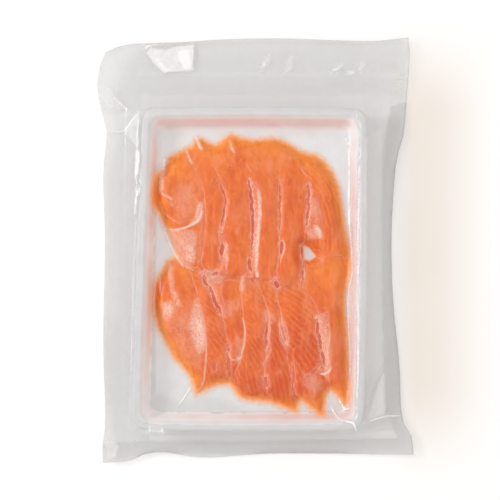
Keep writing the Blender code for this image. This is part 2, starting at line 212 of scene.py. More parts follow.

# ---------------------------------------------------------------- marks on the film and the flesh
# Creases that stand up and shine: a path of pixels, width and height in millimetres, and the whiteness of
# the highlight painted along them.
CREASES = (
    (((141, 112), (139, 130), (139, 149), (141, 159), (136.6, 177), (141.7, 191), (137.8, 199),
      (137.2, 219)), 1.7, 0.6, 0.7),
    (((137.2, 219), (136.5, 250), (135.5, 290), (134, 340), (132.5, 400)), 3.0, 0.4, 0.45),
    (((137.5, 219), (136.5, 232), (135.8, 245), (135.2, 270), (134, 300), (133, 340), (132, 380)),
     1.8, 0.2, 0.6),
    (((141, 112), (132, 121), (123.4, 131), (107, 133)), 1.6, 0.6, 0.75),
    (((123.4, 131), (131, 140), (139, 149)), 1.4, 0.5, 0.6),
    (((143.6, 115), (153, 117), (151, 119)), 1.3, 0.4, 0.5),
    (((355.6, 109), (355.6, 126), (359.5, 131)), 1.6, 0.6, 0.7),
    (((359, 131), (358, 150), (356.6, 240), (357.2, 256), (356, 284), (356.4, 328), (356.2, 372),
      (354.2, 422)), 2.0, 0.6, 0.85),
    (((349.6, 147), (349.2, 180), (348.5, 215), (350.5, 245), (351.5, 270), (349.6, 282), (347.4, 299),
      (348, 328), (349.6, 357), (349, 400)), 1.5, 0.4, 0.85),
    (((344, 136), (347, 142), (349.6, 147)), 1.8, 0.5, 0.8),
    (((365, 150), (376, 128), (388, 105)), 2.4, 0.8, 0.25),
    (((365, 419.7), (385.5, 416), (401.6, 415.3)), 1.6, 0.7, 0.8),
    (((331, 404), (332.7, 410), (338.5, 417.5), (346, 419), (352, 421), (354.7, 429)), 1.8, 0.5, 1.0),
    (((338, 397), (341, 404), (345, 408), (349, 407)), 1.7, 0.4, 1.0),
    (((327, 390), (334, 397), (341, 405)), 1.2, 0.3, 0.4),
    (((177.3, 407), (185, 396), (192.7, 384)), 1.4, 0.5, 0.9),
    (((178, 406.7), (193.5, 394.6), (203, 383), (205, 370), (206.5, 352), (206, 336)), 1.3, 0.5, 0.5),
    (((164, 398.7), (176, 394), (190, 386)), 1.4, 0.3, 0.3),
    (((130, 446), (139, 437), (150, 430)), 1.6, 0.6, 0.6),
    (((126, 444), (134, 435), (146, 427)), 1.4, 0.5, 0.45),
    (((134, 449), (143, 440), (153, 436)), 1.4, 0.5, 0.4),
    (((122, 450), (131, 440), (141, 430)), 1.4, 0.4, 0.3),
    (((150, 73.5), (200, 76), (260, 76.5)), 1.2, 0.1, 0.22),
    (((196, 80), (250, 81), (300, 80)), 1.2, 0.1, 0.15),
    (((200, 92), (240, 90), (300, 86)), 1.4, 0.1, 0.15),
    (((148, 90), (180, 89), (200, 90)), 1.2, 0.1, 0.15),
    (((150, 436), (250, 437.5), (347, 438), (397, 437.5)), 1.2, 0.2, 0.3),
    (((390.6, 452.7), (394.3, 449)), 1.2, 0.2, 0.5),
    (((394, 75.5), (407, 75)), 0.9, 0.15, 0.7),
    (((394, 78.8), (406.5, 78.4)), 0.9, 0.15, 0.7),
    (((393.5, 82), (406, 81.8)), 0.9, 0.15, 0.7),
    (((393.5, 85.4), (405.5, 85.2)), 0.9, 0.15, 0.7),
    (((393, 88.8), (405, 88.6)), 0.9, 0.15, 0.7),
    (((143, 75), (143.5, 95), (143, 112)), 1.8, 0.3, 0.15),
    (((164, 225.8), (170, 229.5), (178, 230), (190, 226), (199.5, 219), (203.6, 206)), 1.4, 0.5, 0.85),
    (((159.4, 192), (167, 196.5), (175.4, 200.4)), 1.3, 0.4, 0.75),
    (((160, 200.4), (162, 208), (166, 214), (175, 221), (184.8, 224.5)), 1.3, 0.3, 0.45),
    (((171, 200), (173, 209)), 1.6, 0.3, 0.45),
    (((155.5, 318), (154.5, 300), (155.5, 286), (158.7, 275), (160.5, 282), (161, 292), (165, 299)),
     1.3, 0.4, 0.75),
    (((224, 281), (231, 279.5), (239, 282)), 1.2, 0.2, 0.35),
    (((227, 348), (231, 357.5), (236, 359), (239.6, 358.5)), 1.3, 0.3, 0.5),
    (((241.5, 313), (244.8, 327.5), (243.8, 344), (240, 358)), 1.3, 0.3, 0.6),
    (((280, 317), (279, 325.5), (283.3, 338), (288.5, 346)), 1.2, 0.2, 0.45),
    (((283.3, 321), (287.5, 331.5), (288.8, 345)), 1.1, 0.2, 0.35),
    (((270, 308), (265.6, 317), (269.8, 325.5), (268.8, 338), (270.8, 348), (266.7, 357), (263.5, 363),
      (264.6, 373)), 1.1, 0.2, 0.4),
    (((262, 374), (266, 385), (272, 392), (275, 385), (271, 377)), 1.1, 0.2, 0.3),
    (((327, 317), (329, 334), (327, 352.5), (331, 369)), 1.2, 0.2, 0.5),
    (((233, 388), (239.6, 396), (250, 398), (258, 394)), 1.2, 0.2, 0.35),
    (((226, 281), (222, 286), (222, 296), (225, 305)), 1.1, 0.2, 0.35),
    (((202, 272), (206, 270), (212, 272), (216, 270), (221, 268)), 1.1, 0.2, 0.5),
    (((196, 272), (203, 275), (206, 281)), 1.0, 0.2, 0.4),
    (((243, 273), (241, 283), (239, 291)), 1.2, 0.2, 0.45),
    (((290, 352), (294, 364), (296, 380)), 1.0, 0.1, 0.25),
    (((278, 356), (281, 368), (280, 380)), 1.0, 0.1, 0.25),
    (((300, 386), (296, 390), (304, 400), (310, 405)), 1.1, 0.1, 0.3),
    (((318, 372.5), (325, 372.5), (331, 367)), 1.4, 0.3, 0.95),
    (((322, 376), (329, 376)), 1.2, 0.2, 0.5),
    (((268, 283), (273, 279), (277, 275)), 1.2, 0.2, 0.4),
    (((300, 247), (300.5, 258), (303, 263), (304, 275), (302, 283)), 1.2, 0.2, 0.45),
    (((343, 262), (347, 256)), 1.2, 0.2, 0.4),
    (((343, 262), (350, 267)), 1.2, 0.2, 0.4),
    (((245, 163), (251, 172), (256, 179)), 1.1, 0.2, 0.3),
    (((298, 165), (303, 173), (308, 179)), 1.1, 0.2, 0.35),
    (((205, 160), (214, 168), (219, 176), (225, 186), (227.5, 200)), 1.1, 0.2, 0.3),
    (((277, 225), (279, 236), (278, 250)), 1.1, 0.2, 0.35),
    (((283, 238), (284, 248), (281, 258), (280, 264)), 1.2, 0.2, 0.5),
    (((306, 188), (307.5, 205), (304, 217), (304, 228)), 1.1, 0.2, 0.35),
    (((248, 250), (247, 262), (250, 272)), 1.1, 0.2, 0.35),
    (((222, 225), (219.5, 235), (220.5, 245)), 1.1, 0.2, 0.3),
    (((185, 267), (190, 268), (196, 272)), 1.1, 0.2, 0.45),
    (((164, 226), (168, 240), (176, 256), (184, 266)), 1.4, 0.2, 0.8),
    (((172, 301), (183, 311), (190, 320)), 1.1, 0.2, 0.3),
    (((337, 296), (338, 302), (336, 307)), 1.1, 0.2, 0.25),
)
# Glare where the wet flesh or the film catches the light: an outline of pixels, softness in pixels,
# whiteness.
GLARES = (
    (((150, 49), (166, 50), (176, 47), (194, 44.5), (194, 58), (192, 71), (163.5, 73), (154, 64.5),
      (147, 54)), 1.4, 0.66),
    (((145, 46), (160, 45), (150, 47), (146, 51)), 0.8, 0.6),
    (((176, 50), (191, 47), (193, 70), (184, 71), (178, 62)), 5.0, 0.95),
    (((152, 56), (158, 58), (166, 66), (172, 72), (166, 72), (156, 64)), 2.0, 0.85),
    (((100, 88), (110, 87), (117, 98), (124, 111), (108, 108), (101, 100)), 2.2, 0.33),
    (((112, 97), (116, 98), (128, 109), (126, 111)), 1.0, 0.7),
    (((141, 112), (124, 131), (132, 140), (139, 149)), 1.2, 0.3),
    (((141, 112), (127, 128), (125, 131), (138, 118)), 0.9, 0.5),
    (((137, 150), (141, 152), (141, 172), (138, 178), (136, 172)), 0.9, 0.55),
    (((137, 186), (141, 190), (139, 198), (137, 216), (135, 214)), 0.9, 0.35),
    (((106, 440), (112, 438), (119, 445), (116, 456), (106, 459)), 2.0, 0.4),
    (((148, 419), (152, 421), (165, 424), (165, 430), (149, 428)), 1.2, 0.35),
    (((161, 426), (165, 425), (165, 430), (161, 430)), 0.8, 0.6),
    (((150, 424), (152, 422), (153, 429), (150, 430)), 0.8, 0.6),
    (((163, 157), (166, 160), (164.5, 180), (163, 190), (159.5, 194), (160, 182), (162, 168)), 1.0, 0.8),
    (((194, 136), (197.5, 137), (203.5, 151), (199.5, 149)), 0.8, 1.0),
    (((185.5, 151), (188, 152), (193.5, 165), (191, 164)), 1.0, 0.7),
    (((229, 141), (231.5, 143), (234.5, 154), (231, 151)), 1.0, 0.6),
    (((199, 201), (203.5, 203), (204, 214), (201, 222), (194, 226), (190, 224), (195, 217), (197, 208)),
     1.6, 0.42),
    (((164, 226), (176, 231), (192, 230), (197, 235), (196, 260), (190, 268), (184, 266), (176, 256),
      (169, 242)), 2.0, 0.32),
    (((186, 246), (193, 244), (195, 255), (191, 264), (187, 258)), 1.6, 0.6),
    (((164, 226), (168, 228), (174, 246), (182, 262), (184, 267), (177, 259), (169, 243)), 1.2, 0.6),
    (((172, 200), (180, 185), (192, 185), (196, 200), (192, 222), (184, 222), (176, 212)), 5.0, 0.1),
    (((257.5, 188), (260.5, 196), (261.3, 215), (259.5, 235), (258, 260), (256, 276), (254.5, 268),
      (256, 240), (258, 215)), 0.8, 0.75),
    (((255.6, 271), (258.4, 270.5), (258.2, 277), (256.2, 278)), 0.7, 0.9),
    (((137, 218), (142, 219), (138.5, 300), (135, 400), (131.5, 425), (132, 380), (134, 300), (136, 240)),
     1.2, 0.12),
    (((225.5, 242), (228.5, 244), (229, 258), (227, 270), (225, 262), (226, 250)), 1.0, 0.4),
    (((200, 200), (204, 202), (204, 235), (201, 263), (198.5, 262), (200, 230)), 2.0, 0.1),
    (((311, 200), (315, 200), (319, 212), (317, 222), (311, 214)), 2.5, 0.2),
    (((313, 225), (317, 226), (321, 232), (322, 239), (317, 237), (314, 231)), 1.2, 0.65),
    (((306, 230), (312, 229), (316, 238), (308, 240)), 2.0, 0.25),
    (((304, 247), (307, 248), (314, 257), (311, 260), (304, 259)), 1.0, 0.1),
    (((162, 303), (172, 300), (178, 306), (174, 314), (168, 322), (163, 318)), 3.0, 0.32),
    (((169, 262), (172, 266), (175, 285), (179, 298), (183, 306), (176, 305), (171, 290), (168, 274)),
     1.6, 0.36),
    (((197, 297), (202, 310), (206, 330), (206, 348), (199, 354), (192, 338), (189, 322), (193, 308)),
     2.2, 0.38),
    (((170, 315), (190, 312), (196, 340), (200, 365), (190, 365), (178, 345), (168, 330)), 5.0, 0.1),
    (((245, 274), (244, 284), (243, 292), (240, 290), (241, 280)), 1.2, 0.38),
    (((224, 300), (240, 300), (241, 306), (232, 316), (226, 318), (222, 310)), 3.0, 0.14),
    (((236, 335), (243, 338), (243, 355), (237, 360)), 2.5, 0.13),
    (((237.5, 355), (242, 356), (240, 360), (237, 359)), 0.9, 0.5),
    (((320, 312), (328, 312), (329, 330), (330, 350), (331, 366), (327, 372), (325, 360), (322, 345),
      (319, 325)), 1.8, 0.25),
    (((323.5, 325), (327.5, 327), (328, 345), (329.5, 364), (326.5, 366), (325, 350), (323.5, 338)),
     1.4, 0.38),
    (((264, 308), (270, 310), (276, 318), (272, 324), (265, 320)), 2.0, 0.14),
    (((279, 316), (284, 318), (289, 335), (289, 350), (284, 346), (279, 335)), 1.5, 0.14),
    (((303, 372), (318, 375), (322, 388), (312, 392), (304, 384)), 3.0, 0.15),
    (((202, 272), (218, 270), (222, 280), (218, 300), (208, 290), (201, 282)), 3.0, 0.14),
    (((258, 68), (262, 61), (269, 55), (271, 59), (267, 68), (262, 71)), 5.0, 0.3),
    (((262, 66), (264, 61.5), (266, 62), (265.5, 66.5), (263, 68)), 1.8, 0.6),
    (((284, 72), (286, 62), (291, 55), (293, 60), (291, 71), (287, 74)), 5.0, 0.35),
    (((327, 73), (333, 67), (342, 61), (343, 65), (339, 71), (332, 75)), 5.0, 0.3),
    (((331, 71.5), (334, 68.5), (340, 66), (340.5, 68.5), (336, 71.5)), 1.8, 0.55),
    (((346, 74.5), (349, 71), (354.5, 70.5), (355, 73.5), (350, 75.5)), 2.2, 0.55),
    (((355, 71), (360, 64), (364, 62), (365, 67), (361, 73)), 4.5, 0.35),
    (((350, 150), (358.5, 150), (357.5, 330), (357, 420), (350, 420), (350, 330)), 1.2, 0.16),
    (((382, 376), (367, 416), (384, 413.5)), 1.0, 0.22),
    (((195, 318), (202, 319), (206, 338), (204, 350), (198, 342)), 1.8, 0.68),
    (((164, 303), (170, 302), (174, 308), (171, 316), (165, 314)), 1.4, 0.6),
)
# Darker welded bands, painted shade on the film over the tray's near wall, beside its left wall and on
# other dim parts, and, where the value is negative, painted light that lifts the film's shade, as on the
# right gusset: an outline of pixels, softness in pixels, how much darker.
SEALS_AND_PAINTED_SHADE = (
    (((391, 106), (407, 102), (402, 150), (399, 200), (397, 240), (398, 284), (401, 328), (405, 372),
      (407, 415), (385, 415), (382.8, 357), (382, 299), (381, 240), (382, 170), (385, 140)), 0.8, 0.17),
    (((104, 443), (150, 440.5), (250, 441), (398, 438.5), (404, 452), (330, 454), (250, 454), (180, 453),
      (104, 461)), 0.8, 0.17),
    (((398, 400), (404, 414), (412, 438), (414, 453), (398, 453), (397, 437), (388, 417), (402, 415)),
     1.0, 0.15),
    (((382.6, 372), (363.5, 418), (359, 420), (363, 405), (374, 380)), 1.2, 0.1),
    (((120, 178), (131, 176), (131, 420), (119, 420), (120, 300)), 2.5, 0.03),
    (((365, 420), (386, 417), (397, 422), (346, 432)), 2.0, 0.08),
    (((118, 60), (143, 62), (143, 111), (128, 110), (118, 95)), 4.0, 0.035),
    (((104, 437), (120, 440), (118, 462), (104, 462)), 3.0, 0.04),
    (((120, 74), (400, 78), (398, 95), (125, 96)), 3.0, 0.05),
    (((383, 372), (366, 417), (385, 414.5), (384, 374)), 0.6, -0.15),
    (((363, 140), (382, 128), (381.5, 240), (382.5, 360), (364, 408), (363, 240)), 1.4, -0.11),
    (((150, 434), (347, 433), (397, 430), (397.5, 437.5), (347, 439), (150, 440)), 0.8, -0.1),
    (((388, 105), (399, 99), (398, 118), (385, 128), (372, 148), (368, 146)), 3.0, -0.04),
    (((100, 112), (120, 113), (139, 112), (124, 130), (107, 132)), 2.0, -0.03),
    (((98, 330), (124, 330), (124, 436), (98, 436)), 30.0, 0.07),
    (((140, 94), (362, 96), (362, 111), (143, 111)), 3.0, -0.045),
    (((363.5, 150), (367, 150), (367, 380), (364, 385)), 0.8, -0.14),
    (((100, 40), (402, 34), (398, 73), (120, 73)), 3.0, 0.05),
    (((320, 76), (370, 74), (385, 80), (378, 92), (330, 92)), 6.0, 0.07),
    (((155, 102), (240, 98), (300, 103), (240, 107), (160, 107)), 2.0, 0.02),
    (((146, 411), (348, 411), (350, 421), (146, 421)), 2.0, 0.14),
    (((144, 385), (180, 402), (205, 395), (232, 402), (240, 411), (142, 411)), 4.0, 0.07),
    (((151, 160), (156, 165), (156, 392), (150, 396)), 1.6, 0.12),
)
# Grooves between the slices: a path of pixels, width in millimetres, strength. They are cut into the flesh
# and painted darker red, partly red juice and partly painted shade.
GROOVES = (
    (((219, 181), (223, 190), (225.5, 200), (224.5, 212), (222, 222), (221, 230)), 1.0, 0.55),
    (((223, 243), (222, 250), (221.5, 257)), 2.2, 0.85),
    (((249, 180), (251, 195), (252.5, 210), (253, 225), (252.5, 240), (252, 252)), 1.5, 0.8),
    (((250, 258), (249.5, 266), (251, 271)), 2.0, 0.75),
    (((279, 180), (280, 200), (280, 215), (279, 230)), 1.0, 0.5),
    (((281, 242), (281.5, 247), (281, 254)), 1.9, 0.95),
    (((308, 184), (308, 198), (308, 208), (306.5, 218), (306, 227)), 1.4, 0.75),
    (((301, 246), (302, 254), (303, 261)), 1.0, 0.6),
    (((203, 274), (205, 280), (208, 286)), 2.2, 0.8),
    (((207, 283), (213, 293), (217, 303), (222, 314)), 1.5, 0.8),
    (((213, 276), (219, 272)), 1.5, 0.55),
    (((274, 281), (276, 284), (277, 288)), 2.4, 0.85),
    (((266.5, 324), (266, 335), (266.5, 346)), 1.4, 0.45),
    (((265, 375), (266, 380), (267, 386)), 2.0, 0.6),
    (((281, 324), (282, 333), (285, 342)), 2.2, 0.4),
    (((316.5, 316), (317.5, 330), (320, 345), (323.5, 360), (325, 368)), 1.5, 0.7),
    (((318, 368), (310, 371)), 2.0, 0.4),
    (((214, 362), (216, 370)), 2.0, 0.4),
    (((293, 362), (293, 376), (292, 388)), 1.1, 0.4),
    (((228, 345), (229, 360), (229, 378)), 1.8, 0.35),
    (((292, 393), (297, 398), (303, 404)), 1.1, 0.5),
    (((252, 278), (255, 284)), 1.4, 0.4),
    (((303, 262), (303, 275), (301, 288)), 1.1, 0.4),
)


# ---------------------------------------------------------------- plain tools
def on_pack(pixels):
    """Pixels of the view as millimetres on the pack."""
    return (np.asarray(pixels, dtype=float) - MIDDLE_PIXEL) * (MM_PER_PIXEL, -MM_PER_PIXEL)


def smoothstep(value, low, high):
    """0 below low and 1 above high, with a soft change between."""
    value = np.clip((value - low) / (high - low), 0.0, 1.0)
    return value * value * (3.0 - 2.0 * value)


def noise_at(places, scale, layer):
    """Smooth noise from about -1 to 1 at each place, with waves about as long as the scale."""
    return np.array([noise.noise((x / scale, y / scale, layer)) for x, y in places[:, :2]])


def drift_at(places, scale, layers):
    """Smooth noise as a step sideways at each place."""
    return np.column_stack([noise_at(places, scale, layer) for layer in layers])


def along(curve, fractions):
    """Points at these fractions of a curve's length."""
    travelled = np.concatenate([[0.0], np.cumsum(np.linalg.norm(np.diff(curve, axis=0), axis=1))])
    wanted = np.asarray(fractions) * travelled[-1]
    return np.column_stack([np.interp(wanted, travelled, curve[:, k]) for k in (0, 1)])


def curve_through(points, steps=8):
    """A smooth curve through the points, as an array of x, y rows."""
    points = np.array(points, dtype=float)
    before = np.vstack([2 * points[0] - points[1], points[:-1]])
    after = np.vstack([points[1:], 2 * points[-1] - points[-2]])
    slopes = (after - before) / 2
    t = np.linspace(0.0, 1.0, steps, endpoint=False)[:, None]
    rows = []
    for k in range(len(points) - 1):
        rows.append(
            (2 * t**3 - 3 * t**2 + 1) * points[k]
            + (t**3 - 2 * t**2 + t) * slopes[k]
            + (3 * t**2 - 2 * t**3) * points[k + 1]
            + (t**3 - t**2) * slopes[k + 1]
        )
    rows.append(points[-1:])
    return np.vstack(rows)


def line_gap(places, path):
    """Each place's distance from a path, and the share of the path at which it is nearest."""
    path = np.asarray(path, dtype=float)
    lengths = np.linalg.norm(np.diff(path, axis=0), axis=1)
    starts = np.concatenate([[0.0], np.cumsum(lengths)])
    nearest = np.full(len(places), np.inf)
    part = np.zeros(len(places))
    for k, length in enumerate(lengths):
        way = (path[k + 1] - path[k]) / length
        ahead = np.clip((places - path[k]) @ way, 0.0, length)
        gap = np.linalg.norm(places - path[k] - ahead[:, None] * way, axis=1)
        closer = gap < nearest
        nearest[closer] = gap[closer]
        part[closer] = (starts[k] + ahead[closer]) / starts[-1]
    return nearest, part


def neighbours(grid):
    """The sum of the four neighbours of each inner cell of a grid."""
    return grid[:-2, 1:-1] + grid[2:, 1:-1] + grid[1:-1, :-2] + grid[1:-1, 2:]


def taper(part, low, high):
    """0 to 1 from a path's ends towards its middle, for these shares of its length."""
    return smoothstep(np.minimum(part, 1 - part), low, high)


def inside(places, loop):
    """True for each place inside a closed loop of points."""
    found = np.zeros(len(places), dtype=bool)
    x, y = places[:, 0], places[:, 1]
    for (x0, y0), (x1, y1) in zip(loop, np.roll(loop, -1, axis=0)):
        if y0 != y1:
            crossing = (y0 > y) != (y1 > y)
            found ^= crossing & (x < (x1 - x0) * (y - y0) / (y1 - y0) + x0)
    return found


def outside_gap(places, loop):
    """Each place's distance from a closed loop, negative inside it."""
    gap, _ = line_gap(places, np.vstack([loop, loop[:1]]))
    return np.where(inside(places, loop), -gap, gap)


def near_loop(places, loop, margin):
    """Which places lie in the box round a loop, with a margin."""
    return np.all((places > loop.min(axis=0) - margin) & (places < loop.max(axis=0) + margin), axis=1)


def spots(places, blots):
    """How strongly round blots of pixels cover each place, from 0 to 1."""
    left = np.ones(len(places))
    for x, y, radius, strength in blots:
        away = np.linalg.norm(places - on_pack((x, y)), axis=1) / (radius * MM_PER_PIXEL)
        left *= 1 - strength * np.exp(-(away**2))
    return 1 - left


def filled(places, outlines):
    """How strongly soft-edged outlines of pixels cover each place: the strongest counts, up or down."""
    cover = np.zeros(len(places))
    for pixels, softness, strength in outlines:
        loop = on_pack(pixels)
        soft = softness * MM_PER_PIXEL
        near = near_loop(places, loop, soft)
        fresh = strength * (1 - smoothstep(outside_gap(places[near], loop), -soft, soft))
        cover[near] = np.where(abs(fresh) > abs(cover[near]), fresh, cover[near])
    return cover


# How far strokes reach, how long the waves are in which they wander, between which shares of their
# length they reach their full width, and what is known of the nearest one.
STROKE_REACH = 5.0
STROKE_DRIFT = 3.4
STROKE_TAPER = (-0.1, 0.3)
STROKE_PARTS = ("away", "width", "power")


def nearest_stroke(places, strokes, wander=0.0):
    """Each place's distance from the nearest stroke, and that stroke's width and power there."""
    away = np.full(len(places), STROKE_REACH)
    width, power = np.zeros(len(places)), np.zeros(len(places))
    for pixels, full_width, full_power in strokes:
        path = on_pack(curve_through(pixels))
        path += wander * drift_at(path, STROKE_DRIFT, (1.3, 9.9))
        near = np.flatnonzero(near_loop(places, path, STROKE_REACH))
        gap, part = line_gap(places[near], path)
        closer = gap < away[near]
        near = near[closer]
        away[near] = gap[closer]
        width[near] = full_width * taper(part[closer], *STROKE_TAPER)
        power[near] = full_power
    return away, width, power


def stroke_looks(name, found):
    """What is known of the nearest stroke, as attributes under a name."""
    return {f"{name}_{part}": values for part, values in zip(STROKE_PARTS, found)}


# ---------------------------------------------------------------- mesh tools
# How near to each other loose corners are joined, how far from upright a side may lean, how uneven a
# joined pair of triangles may be, and how many times the faces are divided to round a body.
WELD = 0.01
LEAN = 0.02
UNEVEN = 1.4
ROUNDS = 2


def merged(node):
    """A CAD node's loose triangles as one joined bmesh, in millimetres."""
    bm = bmesh.new()
    bm.from_mesh(frame["nodes"][node].data)
    bmesh.ops.scale(bm, vec=(1 / MM, 1 / MM, 1 / MM), verts=bm.verts[:])
    bmesh.ops.remove_doubles(bm, verts=bm.verts[:], dist=WELD)
    bm.normal_update()
    return bm


@functools.cache
def outline_of(node):
    """The longest loop along the top of a node's upright sides, as x, y rows in order."""
    bm = merged(node)
    upright = {face for face in bm.faces if abs(face.normal.z) < LEAN}
    ways = {}
    for edge in bm.edges:
        sides = [face in upright for face in edge.link_faces]
        tops = [face.normal.z > LEAN for face in edge.link_faces]
        if any(sides) and any(tops):
            for vert in edge.verts:
                ways.setdefault(vert, []).append(edge.other_vert(vert))
    loops = []
    waiting = dict.fromkeys(ways)
    while waiting:
        loop = [waiting.popitem()[0]]
        ahead = [vert for vert in ways[loop[-1]] if vert in waiting]
        while ahead:
            waiting.pop(ahead[0])
            loop.append(ahead[0])
            ahead = [vert for vert in ways[loop[-1]] if vert in waiting]
        loops.append(np.array([vert.co.xy[:] for vert in loop]))
    bm.free()
    return max(loops, key=lambda loop: np.ptp(loop[:, 0]) * np.ptp(loop[:, 1]))


def rounded(node, face_angle):
    """A CAD node with its triangles joined up to a face angle and smoothed, as a new bmesh."""
    bm = merged(node)
    bmesh.ops.join_triangles(
        bm, faces=bm.faces[:], angle_face_threshold=face_angle, angle_shape_threshold=UNEVEN
    )
    mesh = bpy.data.meshes.new("rough")
    bm.to_mesh(mesh)
    bm.free()
    thing = bpy.data.objects.new("rough", mesh)
    bpy.context.scene.collection.objects.link(thing)
    rounds = thing.modifiers.new("rounds", "SUBSURF")
    rounds.levels = ROUNDS
    rounds.render_levels = ROUNDS
    ready = thing.evaluated_get(bpy.context.evaluated_depsgraph_get())
    fine = bmesh.new()
    fine.from_mesh(ready.to_mesh())
    ready.to_mesh_clear()
    bpy.data.objects.remove(thing)
    bpy.data.meshes.remove(mesh)
    return fine


def places_of(bm):
    """The places of a bmesh's points, as an array of x, y, z rows."""
    return np.array([vert.co[:] for vert in bm.verts])


def place(bm, places):
    """Moves a bmesh's points to new places."""
    for vert, co in zip(bm.verts, places):
        vert.co = co


def thing_of(name, bm, material):
    """Turns a bmesh in millimetres into an object of the scene."""
    bmesh.ops.scale(bm, vec=(MM, MM, MM), verts=bm.verts[:])
    mesh = bpy.data.meshes.new(name)
    bm.to_mesh(mesh)
    bm.free()
    mesh.materials.append(material)
    thing = bpy.data.objects.new(name, mesh)
    bpy.context.scene.collection.objects.link(thing)
    return thing


def finish_piece(name, bm, material, slot, nodes, **attributes):
    """Turns a bmesh in millimetres into a piece of the pack, with an attribute for each array."""
    piece = thing_of(name, bm, material)
    piece.data.shade_smooth()
    for label, values in attributes.items():
        layer = piece.data.attributes.new(label, "FLOAT", "POINT")
        layer.data.foreach_set("value", np.asarray(values, dtype=np.float32))
    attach(piece, "root")
    if nodes:
        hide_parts(*nodes)
    return piece


def tree_of(*pieces):
    """The finished pieces as one tree for casting rays, in millimetres."""
    verts, faces = [], []
    for piece in pieces:
        start = len(verts)
        verts += [vert.co / MM for vert in piece.data.vertices]
        faces += [[start + k for k in face.vertices] for face in piece.data.polygons]
    return BVHTree.FromPolygons(verts, faces)


def heights_seen(tree, places, start, fallback):
    """The height of what a ray meets at each place: looking down from above 0, or up from below it."""
    way = (0.0, 0.0, -1.0 if start > 0 else 1.0)
    found = np.full(len(places), float(fallback))
    for k, (x, y) in enumerate(places):
        hit = tree.ray_cast((x, y, start), way)[0]
        if hit is not None:
            found[k] = hit.z
    return found


# ---------------------------------------------------------------- shader tools
BLACK = (0.0, 0.0, 0.0, 1.0)
WHITE = (1.0, 1.0, 1.0, 1.0)


class Wire:
    """A shader socket that takes part in Python expressions."""

    def __init__(self, maker, socket):
        self.maker = maker
        self.socket = socket

    def math(self, operation, *values):
        inputs = dict(enumerate(values))
        return self.maker.node("ShaderNodeMath", {"operation": operation}, inputs)

    def __add__(self, other):
        return self.math("ADD", self, other)

    def __radd__(self, other):
        return self.math("ADD", other, self)

    def __sub__(self, other):
        return self.math("SUBTRACT", self, other)

    def __rsub__(self, other):
        return self.math("SUBTRACT", other, self)

    def __mul__(self, other):
        return self.math("MULTIPLY", self, other)

    def __rmul__(self, other):
        return self.math("MULTIPLY", other, self)

    def __truediv__(self, other):
        return self.math("DIVIDE", self, other)

    def size(self):
        """The value without its sign."""
        return self.math("ABSOLUTE", self)

    def clamped(self):
        """The value kept from 0 to 1."""
        return self.math("MINIMUM", self.math("MAXIMUM", self, 0.0), 1.0)

    def step(self, low, high):
        """0 below low and 1 above high, with a soft change between."""
        settings = {"interpolation_type": "SMOOTHSTEP"}
        return self.maker.node("ShaderNodeMapRange", settings, {0: self, 1: low, 2: high})


class Maker:
    """Makes one material from nodes that end in a Principled shader."""

    def __init__(self, name):
        self.material = bpy.data.materials.new(name)
        self.material.use_nodes = True
        self.tree = self.material.node_tree
        self.tree.nodes.clear()
        self.places = self.node("ShaderNodeTexCoord", output="Object")

    def node(self, kind, settings=None, inputs=None, output=0):
        """One node. The output None stands for all of its outputs, as a list."""
        node = self.tree.nodes.new(kind)
        for key, value in (settings or {}).items():
            setattr(node, key, value)
        for key, value in (inputs or {}).items():
            if isinstance(value, Wire):
                self.tree.links.new(value.socket, node.inputs[key])
            else:
                node.inputs[key].default_value = value
        if output is None:
            return [Wire(self, socket) for socket in node.outputs]
        return Wire(self, node.outputs[output])

    def attribute(self, name):
        return self.node("ShaderNodeAttribute", {"attribute_name": name}, output="Fac")

    def stroke(self, name):
        """The distance, width and power of the nearest stroke of a name."""
        return [self.attribute(f"{name}_{part}") for part in STROKE_PARTS]

    def crest(self, name):
        """How strongly a stroke shows: most on its path, and not at all past its width."""
        away, width, power = self.stroke(name)
        return (1 - away / (width + 0.01)).clamped() * power

    def noise(self, length, detail=2.0, roughness=0.5, distortion=0.0, vector=None):
        """Noise from 0 to 1 with waves of a length in millimetres."""
        inputs = {
            "Vector": vector or self.places,
            "Scale": 1 / (length * MM),
            "Detail": detail,
            "Roughness": roughness,
            "Distortion": distortion,
        }
        return self.node("ShaderNodeTexNoise", None, inputs)

    def squeezed(self):
        """The places squeezed along the pack, so that noise is drawn out that way."""
        squeeze = (1.0, FIBRE_SQUEEZE, 1.0)
        return self.node("ShaderNodeVectorMath", {"operation": "MULTIPLY"}, {0: self.places, 1: squeeze})

    def mix(self, share, first, second):
        """A colour between two colours. The node itself keeps the share from 0 to 1."""
        inputs = {0: share, 6: first, 7: second}
        return self.node("ShaderNodeMix", {"data_type": "RGBA"}, inputs, output=2)

    def bump(self, height, depth):
        """A normal from a height of 0 to 1 that stands for a depth in millimetres."""
        inputs = {"Height": height, "Strength": 1.0, "Distance": depth * MM}
        return self.node("ShaderNodeBump", None, inputs)

    def principled(self, **inputs):
        """Ends the material in a Principled shader with these inputs, and hands it back."""
        named = {key.replace("_", " "): value for key, value in inputs.items()}
        shader = self.node("ShaderNodeBsdfPrincipled", None, named)
        output = self.tree.nodes.new("ShaderNodeOutputMaterial")
        self.tree.links.new(shader.socket, output.inputs["Surface"])
        return self.material


# ---------------------------------------------------------------- settings
def colour(name, description, default):
    return bpy.props.FloatVectorProperty(
        name=name, description=description, default=default, size=4, subtype="COLOR", min=0.0, max=1.0
    )


def length(name, description, default):
    return bpy.props.FloatProperty(
        name=name, description=description, default=default * MM, min=0.0, unit="LENGTH", precision=5
    )


def share(name, description, default):
    return bpy.props.FloatProperty(
        name=name, description=description, default=default, min=0.0, max=1.0, subtype="FACTOR"
    )


